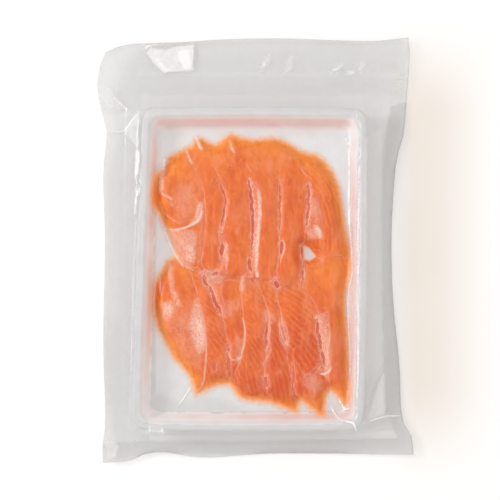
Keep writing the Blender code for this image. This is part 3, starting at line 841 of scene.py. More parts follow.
class TraySettings(bpy.types.PropertyGroup):
    foam: colour("Foam", "Colour of the white foam", (0.81, 0.815, 0.825, 1.0))
    # The blush tints the walls for juice, and on the far and left walls also for painted shade.
    blush: colour("Blush", "Tint of the walls beside the fish", (0.73, 0.41, 0.355, 1.0))
    blush_share: share("Blush share", "How strongly the walls are tinted", 0.55)
    rim_shade: share("Rim shade", "How much greyer the rim is than the floor", 0.12)
    grain: length("Grain", "Length of the foam's grain", 0.7)
    grain_depth: length("Grain depth", "Depth of the foam's grain", 0.05)


class SliceSettings(bpy.types.PropertyGroup):
    flesh: colour("Flesh", "Colour of the flesh", (0.82, 0.155, 0.02, 1.0))
    deep: colour("Deep flesh", "Colour of the darker flesh", (0.66, 0.07, 0.004, 1.0))
    fat: colour("Fat", "Colour of the fat lines", (0.9, 0.3, 0.08, 1.0))
    # The groove and core colours paint the grooves darker red: partly juice, partly painted shade.
    groove: colour("Groove", "Colour in the grooves between slices", (0.7, 0.12, 0.045, 1.0))
    core: colour("Groove core", "Colour of the juice deep in the grooves", (0.62, 0.085, 0.045, 1.0))
    rosy: colour("Rosy flesh", "Colour of the raw pink places", (0.75, 0.2, 0.12, 1.0))
    thin: colour("Thin flesh", "Colour where the flesh is thin", (0.94, 0.25, 0.02, 1.0))
    brim: colour("Outer brim", "Colour at the outer edges", (1.0, 0.39, 0.12, 1.0))
    pale: colour("Pale flesh", "Colour of the paler, pinker flesh", (0.88, 0.27, 0.13, 1.0))
    # The gleam colour is the colour of painted highlights.
    gleam: colour("Gleam", "Colour where the wet flesh gleams", (0.97, 0.6, 0.47, 1.0))
    lip: colour("Lip", "Colour of the pale lips of the slices", (0.92, 0.5, 0.36, 1.0))
    wander: length("Wander", "How far the edges wander", 0.8)
    relief: length("Relief", "Height of the surface's waves", 0.3)
    seam: length("Seam edge", "Width over which an edge comes down onto the next slice", 2.0)
    fringe: length("Outer edge", "Width over which an edge thins out onto the tray", 8.5)


class FilmSettings(bpy.types.PropertyGroup):
    tint: colour("Tint", "Colour of the film's grey veil", (0.445, 0.445, 0.445, 1.0))
    margin: share("Margin veil", "How much the film hides outside the tray", 0.15)
    window: share("Window veil", "How much the film hides over the tray", 0.06)
    # The near veil is painted shade, where the light falls off towards the tray's near end.
    near_end_shade: share("Near veil", "How much more it hides over the tray's near end", 0.07)
    cling: share("Clinging veil", "How much the film hides where it clings to the slices", 0.015)
    shine: share("Shine", "Share of the light that the film mirrors", 0.045)
    thickness: length("Thickness", "Gap between the film and what it clings to", 0.12)


class StageSettings(bpy.types.PropertyGroup):
    floor: colour("Floor", "Colour of the plain floor", (0.96, 0.96, 0.96, 1.0))
    key_power: bpy.props.FloatProperty(
        name="Key light", description="Power of the low light from the left", default=6.0, unit="POWER"
    )
    key_tint: colour("Key tint", "Colour of the low light", (0.93, 0.97, 1.0, 1.0))
    fill: colour("Fill", "Light from all around", (0.98, 0.95, 0.925, 1.0))
    shade: colour("Shade", "Colour of the floor in the soft shade on the right", (0.81, 0.755, 0.7, 1.0))


# ---------------------------------------------------------------- tray
# Between which heights the tray's floor turns into its wall, the wall into its rim, and the rim's
# painted shade begins.
WALL_FOOT = (3.0, 6.5)
WALL_TOP = (8.0, 13.5)
RIM_HEIGHTS = (11.0, 14.0)
# Up to which distance from the flesh juice tints the walls fully, and how fast the tint fades past it.
JUICE_NEAR = 6.0
JUICE_FADE = 12.0
# The darkest of the foam's cloudy patches, as a share of its colour.
FOAM_DARK = 0.93


def juice_and_shade_tint(places, heights):
    """How strongly the foam is tinted at each place, given its height there: by juice, and in parts by
    painted shade.
    """
    under_rim = 1 - smoothstep(heights, *WALL_TOP)
    near = np.min([outside_gap(places, outline_of(node)) for node in UPPER + LOWER], axis=0)
    beside = np.exp(-np.maximum(near - JUICE_NEAR, 0.0) / JUICE_FADE)
    return under_rim * np.maximum(smoothstep(heights, *WALL_FOOT) * beside, filled(places, BLUSHES))


def foam_colour(make, settings):
    """The foam's grain, and its colour with the juice's tint."""
    grain = make.noise(settings.grain / MM, detail=3.0, roughness=0.7)
    cloud = make.noise(9.0)
    dark = tuple(FOAM_DARK * part for part in settings.foam[:3]) + (1.0,)
    base = make.mix((cloud * 0.6 + grain * 0.4).step(0.3, 0.7), dark, settings.foam)
    # The blush: juice's tint, and on the far and left walls and in the hole painted shade.
    blush = make.attribute("blush") * settings.blush_share * (0.55 + 0.9 * make.noise(14.0))
    return grain, make.mix(blush, base, settings.blush)


def foam_material(settings):
    make = Maker("tray_foam")
    grain, base = foam_colour(make, settings)
    return make.principled(
        # The rim is darkened by painted shade.
        Base_Color=make.mix(make.attribute("rim") * settings.rim_shade, base, BLACK),
        Roughness=0.5 + 0.2 * grain,
        Normal=make.bump(grain, settings.grain_depth / MM),
        Subsurface_Weight=0.15,
        Subsurface_Scale=1.5 * MM,
    )


class PACK_OT_tray(bpy.types.Operator):
    """Makes the white foam tray in place of its solid"""

    bl_idname = "pack.tray"
    bl_label = "Foam tray"

    def execute(self, context):
        bm = rounded("tray", face_angle=0.6)
        places = places_of(bm)
        height = places[:, 2]
        finish_piece(
            "foam_tray", bm, foam_material(context.scene.pack_tray), "white_foam", ["tray"],
            blush=juice_and_shade_tint(places[:, :2], height), rim=smoothstep(height, *RIM_HEIGHTS),
        )
        return {"FINISHED"}


# ---------------------------------------------------------------- looks of the flesh
# How far the grooves wander from their paths, and how deep they are. A groove is deepest up to the
# first of these shares of its width, and its side ends the last distance past the second.
GROOVE_WANDER = 0.8
CUT_DEPTH = 0.9
CUT_FLOOR = 0.4
CUT_SIDE = 1.4
CUT_REACH = 0.5


def heap_depth(places, steepness=1.0):
    """How far each place lies inside the heap's outline, negative outside it and in the hole."""
    return np.minimum(-outside_gap(places, on_pack(HEAP)), steepness * outside_gap(places, on_pack(HOLE)))


def groove_near(places):
    """Each place's distance from the nearest groove, and that groove's width and power there."""
    return nearest_stroke(places, GROOVES, GROOVE_WANDER)


def cut_depth(away, width, power):
    """How deep the grooves are cut into the flesh at each place."""
    return CUT_DEPTH * power * (1 - smoothstep(away, CUT_FLOOR * width, CUT_SIDE * width + CUT_REACH))


def flesh_looks(places, foam_heights):
    """The flesh's attributes that depend on the place, given the height of the foam below."""
    # The creases' painted highlights, as strokes.
    glint_strokes = [(path, width, white) for path, width, _, white in CREASES]
    return {
        "heap": heap_depth(places, HOLE_STEEPNESS),
        "yellow": spots(places, YELLOW_BLOTS),
        "deep": spots(places, DEEP_BLOTS),
        "pale": spots(places, PALE_BLOTS),
        "rosy": filled(places, ROSY),
        # Painted highlight where glare falls on the wet flesh.
        "gleam": filled(places, GLARES),
        "blush": juice_and_shade_tint(places, foam_heights),
        **stroke_looks("groove", groove_near(places)),
        **stroke_looks("crease", nearest_stroke(places, glint_strokes)),
    }


def flesh_noises(make):
    """The noises that the flesh's looks are made of, each from 0 to 1 unless its comment differs."""
    squeezed = make.squeezed()
    return types.SimpleNamespace(
        cloud=make.noise(9.0, detail=3.0, roughness=0.6),
        mottle=make.noise(3.2, detail=3.0, roughness=0.7),
        fine=make.noise(1.1, detail=3.0, roughness=0.75),
        speck=make.noise(0.9, detail=1.0).step(0.64, 0.78),
        broken=make.noise(6.0).step(0.3, 0.6),
        fibre=make.noise(1.6, detail=3.0, roughness=0.7, vector=squeezed),
        swathe=make.noise(5.0, roughness=0.6, vector=squeezed),
        # Thin curling lines where a noise passes its middle.
        curls=1 - (make.noise(3.4, distortion=0.8) - 0.5).size().step(0.0, 0.045),
        # From -0.5 to 0.5, so that edges wander.
        waver=make.noise(2.2) - 0.5,
    )


def flesh_marks(make, look):
    """Adds the fat lines, the slices' edges, the grooves, the creases and the heap's outline."""
    away, width, power = make.stroke("groove")
    unrest = look.mottle - 0.5
    waving = make.attribute("phase") + 0.8 * make.noise(9.0)
    look.saw = make.node("ShaderNodeMath", {"operation": "PINGPONG"}, {0: waving, 1: 0.5}) * 2.0
    look.fatty = make.attribute("lines")
    look.lines = (1 - look.saw).step(0.3, 1.0) * look.fatty * look.broken
    # Where a slice runs in under the edge of the slice over it, for painted shade.
    look.under = 1 - (make.attribute("cover") + 2.4 * look.waver).step(0.0, 3.0)
    look.lip = 1 - (make.attribute("edge") + 1.8 * look.waver - 0.45).size().step(0.05, 0.5)
    look.flank = (1 - (away + 1.5 * unrest).step(0.5, 3.6)) * power
    brink = away + 1.6 * look.waver + 1.4 * unrest - width * 0.55
    look.cut = (1 - brink.step(-0.35, 0.35)) * power
    look.banks = (1 - (brink - 0.45).size().step(0.02, 0.36)) * power
    look.second = (1 - (brink - 1.5 - 1.4 * look.waver).size().step(0.0, 0.28)) * power
    look.heap = make.attribute("heap") + 2.6 * look.waver + 2.0 * unrest
    crest = make.crest("crease")
    look.crease = (crest + 0.3 * look.waver * crest.step(0.0, 0.2)).step(0.08, 0.7)


def flesh_layers(make, look):
    """What is laid over the flesh, from the lowest layer up: how much of it shows, and its colour."""
    deep, rosy, seam = (make.attribute(name) for name in ("deep", "rosy", "seam"))
    calm = 1 - deep * 0.9
    plain = 1 - 0.7 * look.fatty
    sparkle = 0.25 + 0.4 * look.fibre.step(0.35, 0.65) + look.fine.step(0.4, 0.62) + 0.4 * look.curls
    return (
        ((look.cloud - 0.5) * 2.0 + 0.06 + deep, "deep"),
        (make.attribute("yellow") + 0.7 * (1 - look.heap.step(2.0, 7.0)), "thin"),
        (look.swathe.step(0.5, 0.68) * 0.4, "pale"),
        (look.swathe.step(0.5, 0.32) * 0.45, "deep"),
        (make.attribute("pale") * (0.5 + look.mottle), "pale"),
        (look.saw.step(0.4, 1.0) * look.fatty * look.broken * 0.12, "deep"),
        (look.lines * 0.38, "fat"),
        (look.mottle.step(0.52, 0.72) * 0.28 * calm, "fat"),
        (look.mottle.step(0.5, 0.25) * 0.35, "deep"),
        (look.fibre.step(0.52, 0.75) * 0.4 * calm * plain, "fat"),
        (look.fibre.step(0.48, 0.25) * 0.25 * plain, "deep"),
        # Painted shade where a slice runs in under the edge of the slice over it.
        (look.under * 0.5 * seam, "groove"),
        # Darker red round the grooves: partly juice, partly painted shade.
        (look.flank * 0.4, "groove"),
        (rosy * (0.4 + look.mottle), "rosy"),
        (look.curls * (look.flank * 0.5 + rosy * 0.5 + look.under * 0.3 * seam), "lip"),
        (look.lip * 0.4 * seam, "lip"),
        # Painted highlight where glare falls on the wet flesh.
        (make.attribute("gleam") * sparkle, "gleam"),
        # Darker red deep in the grooves: partly juice, partly painted shade.
        (look.cut * (0.8 + 0.6 * look.mottle), "core"),
        # Painted highlights along the grooves' banks.
        (look.banks * (0.35 + 0.5 * look.fibre) + look.second * 0.35 * look.broken, "gleam"),
        # Painted highlight along the creases.
        (look.crease * 0.75, "gleam"),
        (look.speck * 0.35, "lip"),
        (1 - look.heap.step(0.4, 4.4), "brim"),
    )


def flesh_material(settings, tray):
    make = Maker("salmon_flesh")
    look = flesh_noises(make)
    flesh_marks(make, look)
    base = settings.flesh
    for cover, paint in flesh_layers(make, look):
        base = make.mix(cover, base, getattr(settings, paint))
    _, foam = foam_colour(make, tray)
    flesh = look.heap.step(-2.6, 2.6)
    grain = look.mottle * 0.6 + look.fibre * 0.3 + look.fine * 0.25 + look.swathe * 0.8
    marks = look.lines * 0.12 + look.banks * 0.25 - look.cut * 0.4
    return make.principled(
        Base_Color=make.mix(flesh, foam, base),
        Roughness=0.4 + 0.2 * look.mottle + 0.15 * (1 - flesh),
        Normal=make.bump((grain + marks) * flesh, 0.22),
        Subsurface_Weight=0.12,
        Subsurface_Radius=(1.0, 0.35, 0.2),
        Subsurface_Scale=1.5 * MM,
        Specular_IOR_Level=0.25,
    )


# ---------------------------------------------------------------- height of the heap
# The flesh's base on the tray's floor, the cells of the grid that holds the heap's height, and how
# far that height is smoothed.
FLOOR_HEIGHT = 2.9
LEVEL_CELL = 2.0
LEVEL_REACH = 9.0
# How deep inside the heap's outline the flesh begins to rise.
RISE_START = 0.3


class Level:
    """The smooth height of the heap of slices, without its steps, as a grid of heights."""

    def __init__(self):
        self.low, high = (np.array(corner[:2]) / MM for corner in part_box("tray"))
        counts = np.ceil((high - self.low) / LEVEL_CELL).astype(int) + 1
        x, y = np.meshgrid(np.arange(counts[0]), np.arange(counts[1]), indexing="ij")
        places = self.low + np.column_stack([x.ravel(), y.ravel()]) * LEVEL_CELL
        trees = [tree_of(frame["nodes"][node]) for node in UPPER + LOWER]
        heights = np.max([heights_seen(tree, places, SKY, 0.0) for tree in trees], axis=0)
        heights = heights.reshape(counts)
        weight = (heights > FLOOR_HEIGHT).astype(float)
        total = heights * weight
        for _ in range(int((LEVEL_REACH / LEVEL_CELL) ** 2)):
            total, weight = self.spread(total), self.spread(weight)
        self.heights = total / np.maximum(weight, 1e-6)

    @staticmethod
    def spread(values):
        """Each cell as the mean of itself and its four neighbours."""
        return (values + neighbours(np.pad(values, 1, mode="edge"))) / 5

    def at(self, places):
        """The height at each place, drawn evenly between the four cells round it."""
        spot = (places - self.low) / LEVEL_CELL
        cell = np.clip(spot.astype(int), 0, np.array(self.heights.shape) - 2)
        part = np.clip(spot - cell, 0.0, 1.0)
        found = np.zeros(len(places))
        for corner in ((0, 0), (1, 0), (0, 1), (1, 1)):
            column, row = (cell + corner).T
            found += np.prod(np.where(corner, part, 1 - part), axis=1) * self.heights[column, row]
        return found


@functools.cache
def heap_level():
    """The heap's level, made once."""
    return Level()


def rise_of(depth, fringe):
    """How much of the heap's height is reached at each depth inside its outline."""
    return smoothstep(depth, RISE_START, fringe + RISE_START)


# ---------------------------------------------------------------- pressed flesh
# The cells of the pressed flesh's grid, how far it runs on outside the heap's outline, how far its
# border sinks into the foam, and how much lower than the heap it lies.
BED_CELL = 0.9
BED_MARGIN = 3.4
BED_SINK = 0.15
BED_DROP = 0.25
# Between which depths its border comes up out of the foam, and the share of the way that lies below.
BED_BORDER = (-BED_MARGIN, -1.5)
BED_SUNK = 0.8
# A distance that stands for no edge nearby.
NO_EDGE = 9.0


def bed_grid():
    """A flat grid over the heap and a margin round it."""
    outline = on_pack(HEAP)
    low, high = outline.min(axis=0) - BED_MARGIN, outline.max(axis=0) + BED_MARGIN
    columns, rows = (int(side / BED_CELL) for side in high - low)
    bm = bmesh.new()
    bmesh.ops.create_grid(bm, x_segments=columns, y_segments=rows, size=0.5)
    flat = (low + high) / 2 + places_of(bm)[:, :2] * (high - low)
    place(bm, np.column_stack([flat, np.zeros(len(flat))]))
    bare = [vert for vert, depth in zip(bm.verts, heap_depth(flat)) if depth < -BED_MARGIN]
    bmesh.ops.delete(bm, geom=bare, context="VERTS")
    return bm


class PACK_OT_bed(bpy.types.Operator):
    """Makes the soft flesh and juice that are pressed out round and between the slices"""

    bl_idname = "pack.bed"
    bl_label = "Pressed flesh"

    def execute(self, context):
        settings = context.scene.pack_slices
        bm = bed_grid()
        grown = bmesh.ops.extrude_face_region(bm, geom=bm.faces[:])["geom"]
        upper = {item for item in grown if isinstance(item, bmesh.types.BMVert)}
        on_top = np.array([vert in upper for vert in bm.verts])
        flat = places_of(bm)[:, :2]
        depth = heap_depth(flat)
        foam = heights_seen(tree_of(bpy.data.objects["foam_tray"]), flat, SKY, 0.0)
        rise = rise_of(depth, settings.fringe / MM)
        lift = rise * (heap_level().at(flat) - FLOOR_HEIGHT) - BED_DROP - cut_depth(*groove_near(flat))
        border = BED_SINK * (smoothstep(depth, *BED_BORDER) - BED_SUNK)
        top = np.maximum(FLOOR_HEIGHT + lift, foam + border)
        place(bm, np.column_stack([flat, np.where(on_top, top, foam - 2 * BED_SINK)]))
        bmesh.ops.recalc_face_normals(bm, faces=bm.faces[:])
        nothing = np.zeros(len(flat))
        material = flesh_material(settings, context.scene.pack_tray)
        finish_piece(
            "pressed_flesh", bm, material, "raw_salmon", [], cover=nothing + NO_EDGE,
            edge=nothing + NO_EDGE, seam=nothing, lines=nothing, phase=nothing, **flesh_looks(flat, foam),
        )
        return {"FINISHED"}


# ---------------------------------------------------------------- slices
# The share of their steps that the slices keep under the tight film, and beside a groove.
PRESSED = 0.3
PRESSED_BY_CUT = 0.7
# From which to which Y the slices melt into one sheet, and the share of their steps that they lose.
MELTED_FAR = (38.0, 50.0)
MELTED_LOSS = 0.9
# How far a slice's upper side lies above what is below it where it thins out, how far its under side
# does, and the least distance between the two.
EDGE_GAP = 0.08
UNDER_GAP = 0.04
LEAST_THICKNESS = 0.1
# How far the slices' thin ends are tucked into the pressed flesh, and between which depths inside the
# heap's outline that ends.
TUCKED = 0.35
TUCKED_DEPTH = (-0.5, 1.5)
# Between which depths inside the heap the slices' edges get their lips.
LIP_DEPTH = (3.0, 5.0)
# The least height between a body's top and bottom that a share is taken of.
LEAST_SPAN = 0.01


def wander_of(places, reach):
    """How far the flesh wanders sideways at each place, the same for slices that lie together."""
    return reach * (1.1 * drift_at(places, 13.0, (3.1, 8.7)) + 0.8 * drift_at(places, 4.5, (5.3, 6.9)))


def grain_phase(places, node):
    """Which fat line each place lies at, as a number that grows by 1 from line to line."""
    angle, radius, spacing, _ = GRAIN[node]
    low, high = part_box(node)
    middle = np.array([(low.x + high.x) / 2, (low.y + high.y) / 2]) / MM
    turn = math.radians(angle + 90)
    centre = middle - radius * np.array([math.cos(turn), math.sin(turn)])
    return np.linalg.norm(places - centre, axis=1) / spacing


def cover_gap(places, nodes):
    """Each place's distance from the nearest of the slices that lie over its own."""
    gaps = [np.maximum(outside_gap(places, outline_of(node)), 0.0) for node in nodes]
    return np.min([np.full(len(places), NO_EDGE), *gaps], axis=0)


def span_of(bm):
    """A body's top and bottom over each of its points, and how far up from one to the other it is."""
    places = places_of(bm)
    flat, height = places[:, :2], places[:, 2]
    own = BVHTree.FromBMesh(bm)
    top = heights_seen(own, flat, SKY, -1.0)
    bottom = heights_seen(own, flat, -SKY, -1.0)
    lost = top < 0
    top[lost] = height[lost]
    bottom[lost] = height[lost] - LEAST_SPAN
    share_up = np.clip((height - bottom) / np.maximum(top - bottom, LEAST_SPAN), 0.0, 1.0)
    bm.normal_update()
    slope = np.array([vert.normal.z for vert in bm.verts])
    share_up[lost] = smoothstep(slope[lost], -0.5, 0.5)
    return top, bottom, share_up


def pressed_top(top, flat, moved, groove, melted, relief):
    """The slices' upper side after the film has pressed out most of its steps, with its grooves."""
    away, _, _ = groove
    kept = PRESSED + (PRESSED_BY_CUT - PRESSED) * (1 - away / STROKE_REACH)
    waves = noise_at(flat, 7.0, 1.7) + 0.5 * noise_at(flat, 2.8, 4.2)
    level = heap_level().at(moved)
    top = level + kept * (1 - MELTED_LOSS * melted) * (top - level) + relief * waves
    return top - cut_depth(*groove)


class PACK_OT_slices(bpy.types.Operator):
    """Makes the two rows of salmon slices in place of their solids"""

    bl_idname = "pack.slices"
    bl_label = "Salmon slices"

    def execute(self, context):
        below = [tree_of(bpy.data.objects[name]) for name in ("foam_tray", "pressed_flesh")]
        for row in (LOWER, UPPER):
            for k, node in enumerate(row):
                over = row[k + 1 : k + 2] + (UPPER if row is LOWER else [])
                piece = self.make_slice(node, over, below, context.scene.pack_slices)
                below.append(tree_of(piece))
        return {"FINISHED"}

    def make_slice(self, node, over, below, settings):
        """Makes a slice, given the nodes that lie over it and the trees of all that is below it."""
        bm = rounded(node, face_angle=0.9)
        flat = places_of(bm)[:, :2]
        top, bottom, share_up = span_of(bm)
        moved = flat + wander_of(flat, settings.wander / MM)
        beds = [heights_seen(tree, moved, SKY, 0.0) for tree in below]
        bed = np.max(beds, axis=0)
        looks = flesh_looks(moved, beds[0])
        groove = [looks[f"groove_{part}"] for part in STROKE_PARTS]
        depth = heap_depth(moved)
        rise = rise_of(depth, settings.fringe / MM)
        melted = smoothstep(flat[:, 1], *MELTED_FAR)
        inwards = np.maximum(-outside_gap(flat, outline_of(node)), 0.0)
        top = pressed_top(top, flat, moved, groove, melted, settings.relief / MM)
        top = FLOOR_HEIGHT + rise * (top - FLOOR_HEIGHT)
        rest = bed + EDGE_GAP - TUCKED * (1 - smoothstep(depth, *TUCKED_DEPTH))
        top = rest + smoothstep(inwards, 0.0, settings.seam / MM) * np.maximum(top - rest, 0.0)
        ground = bed + UNDER_GAP
        bottom = np.minimum(ground + rise * np.maximum(bottom - ground, 0.0), top - LEAST_THICKNESS)
        place(bm, np.column_stack([moved, bottom + share_up * (top - bottom)]))
        return finish_piece(
            node.replace("slice", "salmon"), bm, bpy.data.materials["salmon_flesh"], "raw_salmon", [node],
            cover=cover_gap(flat, over),
            edge=inwards + NO_EDGE * (1 - smoothstep(looks["heap"], *LIP_DEPTH)),
            seam=(1 - melted) * (0.4 + 0.6 * smoothstep(noise_at(flat, 12.0, 4.4), -0.4, 0.3)),
            phase=grain_phase(flat, node),
            lines=np.full(len(flat), GRAIN[node][3]),
            **looks,
        )


# ---------------------------------------------------------------- film
# The film's grid. Its lines lie closer together over the tray: shares of the lines, and where they
# lie across the pouch.
FILM_COLUMNS = 256
FILM_ROWS = 352
COLUMN_SPREAD = ((0.0, 0.09, 0.91, 1.0), (0.0, 0.13, 0.86, 1.0))
ROW_SPREAD = ((0.0, 0.05, 0.88, 1.0), (0.0, 0.07, 0.84, 1.0))
# The share of a crease's height that its very ends have, and the share of its length they reach in.
CREASE_END = 0.25
CREASE_END_REACH = 0.12
# How far each round of draping presses the film down, and how many rounds there are.
PRESSURE = 0.16
DRAPE_ROUNDS = 500
# Rays are cast a little inside the cut edge, so that they meet the pouch: the share of each way from
# the middle, and the film's height where a ray still misses it.
INSET = (0.997, 0.998)
UNDER_INSET = 0.999
MISSED_HEIGHT = 0.6
# The least height of the film, and of the under sheet, and the under sheet's where a ray misses.
LEAST_HEIGHT = 0.25
UNDER_HEIGHT = 0.08
UNDER_MISSED_HEIGHT = 0.1
# How far in the under sheet's rings lie, and the middle and the share of the pouch of the last one.
UNDER_STEPS = (0.12, 0.35, 0.6, 0.85, 1.0)
UNDER_MIDDLE = (-0.5, -11.0)
UNDER_SHARE = (0.77, 0.72)
# The tray's rim in pixels, at the middle of its top, and between which distances from it the veil
# changes.
RIM = ((145.5, 113), (359, 113), (356, 426.5), (136, 426.5))
RIM_SIDES = (-2.0, 1.0)
# Between which depths inside the heap's outline the film clings wet to the flesh.
WET_DEPTH = (-1.5, 3.5)
# Between which distances from the middle towards the near end the veil over the tray gets denser: painted
# shade, where the light falls off.
NEAR_END_SHADE = (40.0, 130.0)


def film_sides():
    """The pouch's cut edge as four curves: far, near, left and right."""
    loop = outline_of("pouch")
    low, high = loop.min(axis=0), loop.max(axis=0)
    corners = []
    for x, y in ((low[0], high[1]), (high[0], high[1]), (high[0], low[1]), (low[0], low[1])):
        corners.append(int(np.argmin(np.abs(loop[:, 0] - x) + np.abs(loop[:, 1] - y))))
    runs = []
    for first, last in zip(corners, corners[1:] + corners[:1]):
        ahead = np.roll(loop, -first, axis=0)[: (last - first) % len(loop) + 1]
        back = np.roll(loop[::-1], first + 1, axis=0)[: (first - last) % len(loop) + 1]
        runs.append(min(ahead, back, key=len))
    far, right, near, left = runs
    return far, near[::-1], left[::-1], right


def film_places(s, t):
    """Where the points of the film's grid lie: s runs from left to right and t from near to far."""
    far, near, left, right = film_sides()
    steps_across, steps_up = np.unique(s), np.unique(t)
    column, row = np.searchsorted(steps_across, s), np.searchsorted(steps_up, t)
    far, near = along(far, steps_across), along(near, steps_across)
    left, right = along(left, 1 - steps_up), along(right, 1 - steps_up)
    s, t = s[:, None], t[:, None]
    across = (1 - s) * left[row] + s * right[row]
    up = (1 - t) * near[column] + t * far[column]
    corners = (
        (1 - s) * (1 - t) * near[0] + s * (1 - t) * near[-1]
        + (1 - s) * t * far[0] + s * t * far[-1]
    )
    return across + up - corners


def drape(rest):
    """Draws the film down onto what it covers: it clings to high places and spans narrow gaps."""
    rest = rest.reshape(FILM_ROWS + 1, FILM_COLUMNS + 1)
    film = rest.copy()
    for _ in range(DRAPE_ROUNDS):
        film[1:-1, 1:-1] = np.maximum(neighbours(film) / 4 - PRESSURE, rest[1:-1, 1:-1])
    return film.ravel()


def crease_lift(places):
    """How high the creases lift the film at each place."""
    lift = np.zeros(len(places))
    for pixels, width, height, _ in CREASES:
        path = on_pack(curve_through(pixels))
        near = near_loop(places, path, width)
        gap, part = line_gap(places[near], path)
        crest = np.clip(1 - (gap / width) ** 2, 0.0, 1.0) ** 2
        crest *= CREASE_END + (1 - CREASE_END) * taper(part, 0.0, CREASE_END_REACH)
        lift[near] = np.maximum(lift[near], height * crest)
    return lift


def film_heights(flat, order, pouch, gap):
    """How high the film lies, drawn down onto what it covers. The order sorts its points by rows."""
    inner = flat * INSET
    contents = tree_of(*[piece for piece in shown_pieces() if "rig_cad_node" not in piece])
    under = heights_seen(contents, inner, SKY, 0.0) + gap
    rest = np.maximum(under, heights_seen(pouch, inner, SKY, MISSED_HEIGHT))
    height = np.empty(len(flat))
    height[order] = drape(rest[order])
    waves = 0.25 * noise_at(flat, 9.0, 2.2) + 0.1 * noise_at(flat, 3.5, 7.1)
    return np.maximum(height + crease_lift(flat) + waves, np.maximum(under, LEAST_HEIGHT))


def film_looks(flat, settings):
    """The film's attributes at each place."""
    wet = smoothstep(heap_depth(flat), *WET_DEPTH)
    over_tray = 1 - smoothstep(outside_gap(flat, on_pack(RIM)), *RIM_SIDES)
    veil = settings.margin + (settings.window - settings.margin) * over_tray
    # Painted shade: the veil over the tray gets denser towards its near end.
    veil += settings.near_end_shade * smoothstep(-flat[:, 1], *NEAR_END_SHADE) * over_tray
    # Painted highlight: a white glint along each crease, as whiteness in the film's colour.
    streaks = [(path, 0.9 * width, white * white) for path, width, _, white in CREASES]
    away, width, power = nearest_stroke(flat, streaks)
    return {
        # Painted glare: white patches where the film catches the light.
        "painted_glare": filled(flat, GLARES) * (1 - 0.8 * wet),
        # The welded bands' darker tone, with painted shade and, where negative, painted light.
        "seal_and_painted_shade": filled(flat, SEALS_AND_PAINTED_SHADE),
        "veil": veil + (settings.cling - veil) * wet,
        "wet": wet,
        **stroke_looks("painted_glint", (away, width, power * (1 - 0.5 * wet))),
    }


def film_material(settings):
    make = Maker("pouch_film")
    ripple = make.noise(3.5, detail=3.0, roughness=0.6, distortion=0.4)
    fine = make.noise(1.1, roughness=0.6)
    fibre = make.noise(1.6, detail=3.0, roughness=0.7, vector=make.squeezed()).step(0.3, 0.7)
    wet = make.attribute("wet")
    # Painted glints along the creases.
    painted_glint = make.crest("painted_glint").step(0.12, 0.75) * (0.75 + 0.35 * fine.step(0.35, 0.65))
    patchy = (0.7 + 0.5 * ripple) * (1 - wet) + (0.3 + 0.9 * fibre) * wet
    # Painted glare: white patches where the film catches the light, together with the painted glints along
    # the creases.
    painted_glare = make.attribute("painted_glare") * patchy + painted_glint * 0.8
    # The veil holds painted shade at the tray's near end. The welded bands' darker tone, painted shade and
    # painted light are added to it here.
    veil = make.attribute("veil") * (0.9 + 0.2 * ripple) + make.attribute("seal_and_painted_shade")
    shine = settings.shine * (0.6 + 0.8 * ripple) * (1 - 0.6 * wet)
    total = veil + painted_glare + shine
    base = make.mix(painted_glare / total, settings.tint, WHITE)
    return make.principled(
        Base_Color=make.mix(shine / total, base, WHITE),
        Metallic=(shine / total).clamped(),
        Roughness=0.16 + 0.12 * wet + 0.1 * fine,
        Alpha=total.clamped(),
        Normal=make.bump(ripple * 0.7 + fine * 0.3, 0.12),
        IOR=1.5,
    )


class PACK_OT_film(bpy.types.Operator):
    """Makes the clear pouch in place of its solid, drawn down over the tray and the slices"""

    bl_idname = "pack.film"
    bl_label = "Clear film"

    def execute(self, context):
        settings = context.scene.pack_film
        pouch = tree_of(frame["nodes"]["pouch"])
        bm = bmesh.new()
        bmesh.ops.create_grid(bm, x_segments=FILM_COLUMNS, y_segments=FILM_ROWS, size=0.5)
        x, y = np.round(places_of(bm)[:, :2] + 0.5, 6).T
        flat = film_places(np.interp(x, *COLUMN_SPREAD), np.interp(y, *ROW_SPREAD))
        height = film_heights(flat, np.lexsort((x, y)), pouch, settings.thickness / MM)
        place(bm, np.column_stack([flat, height]))
        looks = film_looks(flat, settings)
        extra = self.close_under(bm, pouch)
        for name, values in looks.items():
            under = settings.margin if name == "veil" else 0.0
            looks[name] = np.append(values, np.full(extra, under))
        finish_piece("clear_pouch", bm, film_material(settings), "clear_film", ["pouch"], **looks)
        return {"FINISHED"}

    def close_under(self, bm, pouch):
        """Adds the under sheet, from the cut edge inwards, and counts its points."""
        count = len(bm.verts)
        edges = [edge for edge in bm.edges if edge.is_boundary]
        starts = {vert: np.array(vert.co[:2]) for edge in edges for vert in edge.verts}
        for step in UNDER_STEPS:
            grown = bmesh.ops.extrude_edge_only(bm, edges=edges)["geom"]
            edges = [item for item in grown if isinstance(item, bmesh.types.BMEdge)]
            moved = {}
            for vert in (item for item in grown if isinstance(item, bmesh.types.BMVert)):
                others = [edge.other_vert(vert) for edge in vert.link_edges]
                start = next(starts[other] for other in others if other in starts)
                goal = UNDER_MIDDLE + (start - UNDER_MIDDLE) * UNDER_SHARE
                spot = start + (goal - start) * step
                seen = heights_seen(pouch, [spot * UNDER_INSET], -SKY, UNDER_MISSED_HEIGHT)[0]
                vert.co = (*spot, max(seen, UNDER_HEIGHT))
                moved[vert] = start
            starts = moved
        bmesh.ops.contextual_create(bm, geom=edges)
        bmesh.ops.recalc_face_normals(bm, faces=bm.faces[:])
        return len(bm.verts) - count


# ---------------------------------------------------------------- stage
# Where the low light stands, and how wide it is.
KEY_SPOT = (-1150.0, 320.0, 690.0)
KEY_SIDE = 260.0
# How far the floor reaches from its middle, and how far it lies under the pack.
FLOOR_REACH = 4000.0
FLOOR_GAP = 0.05
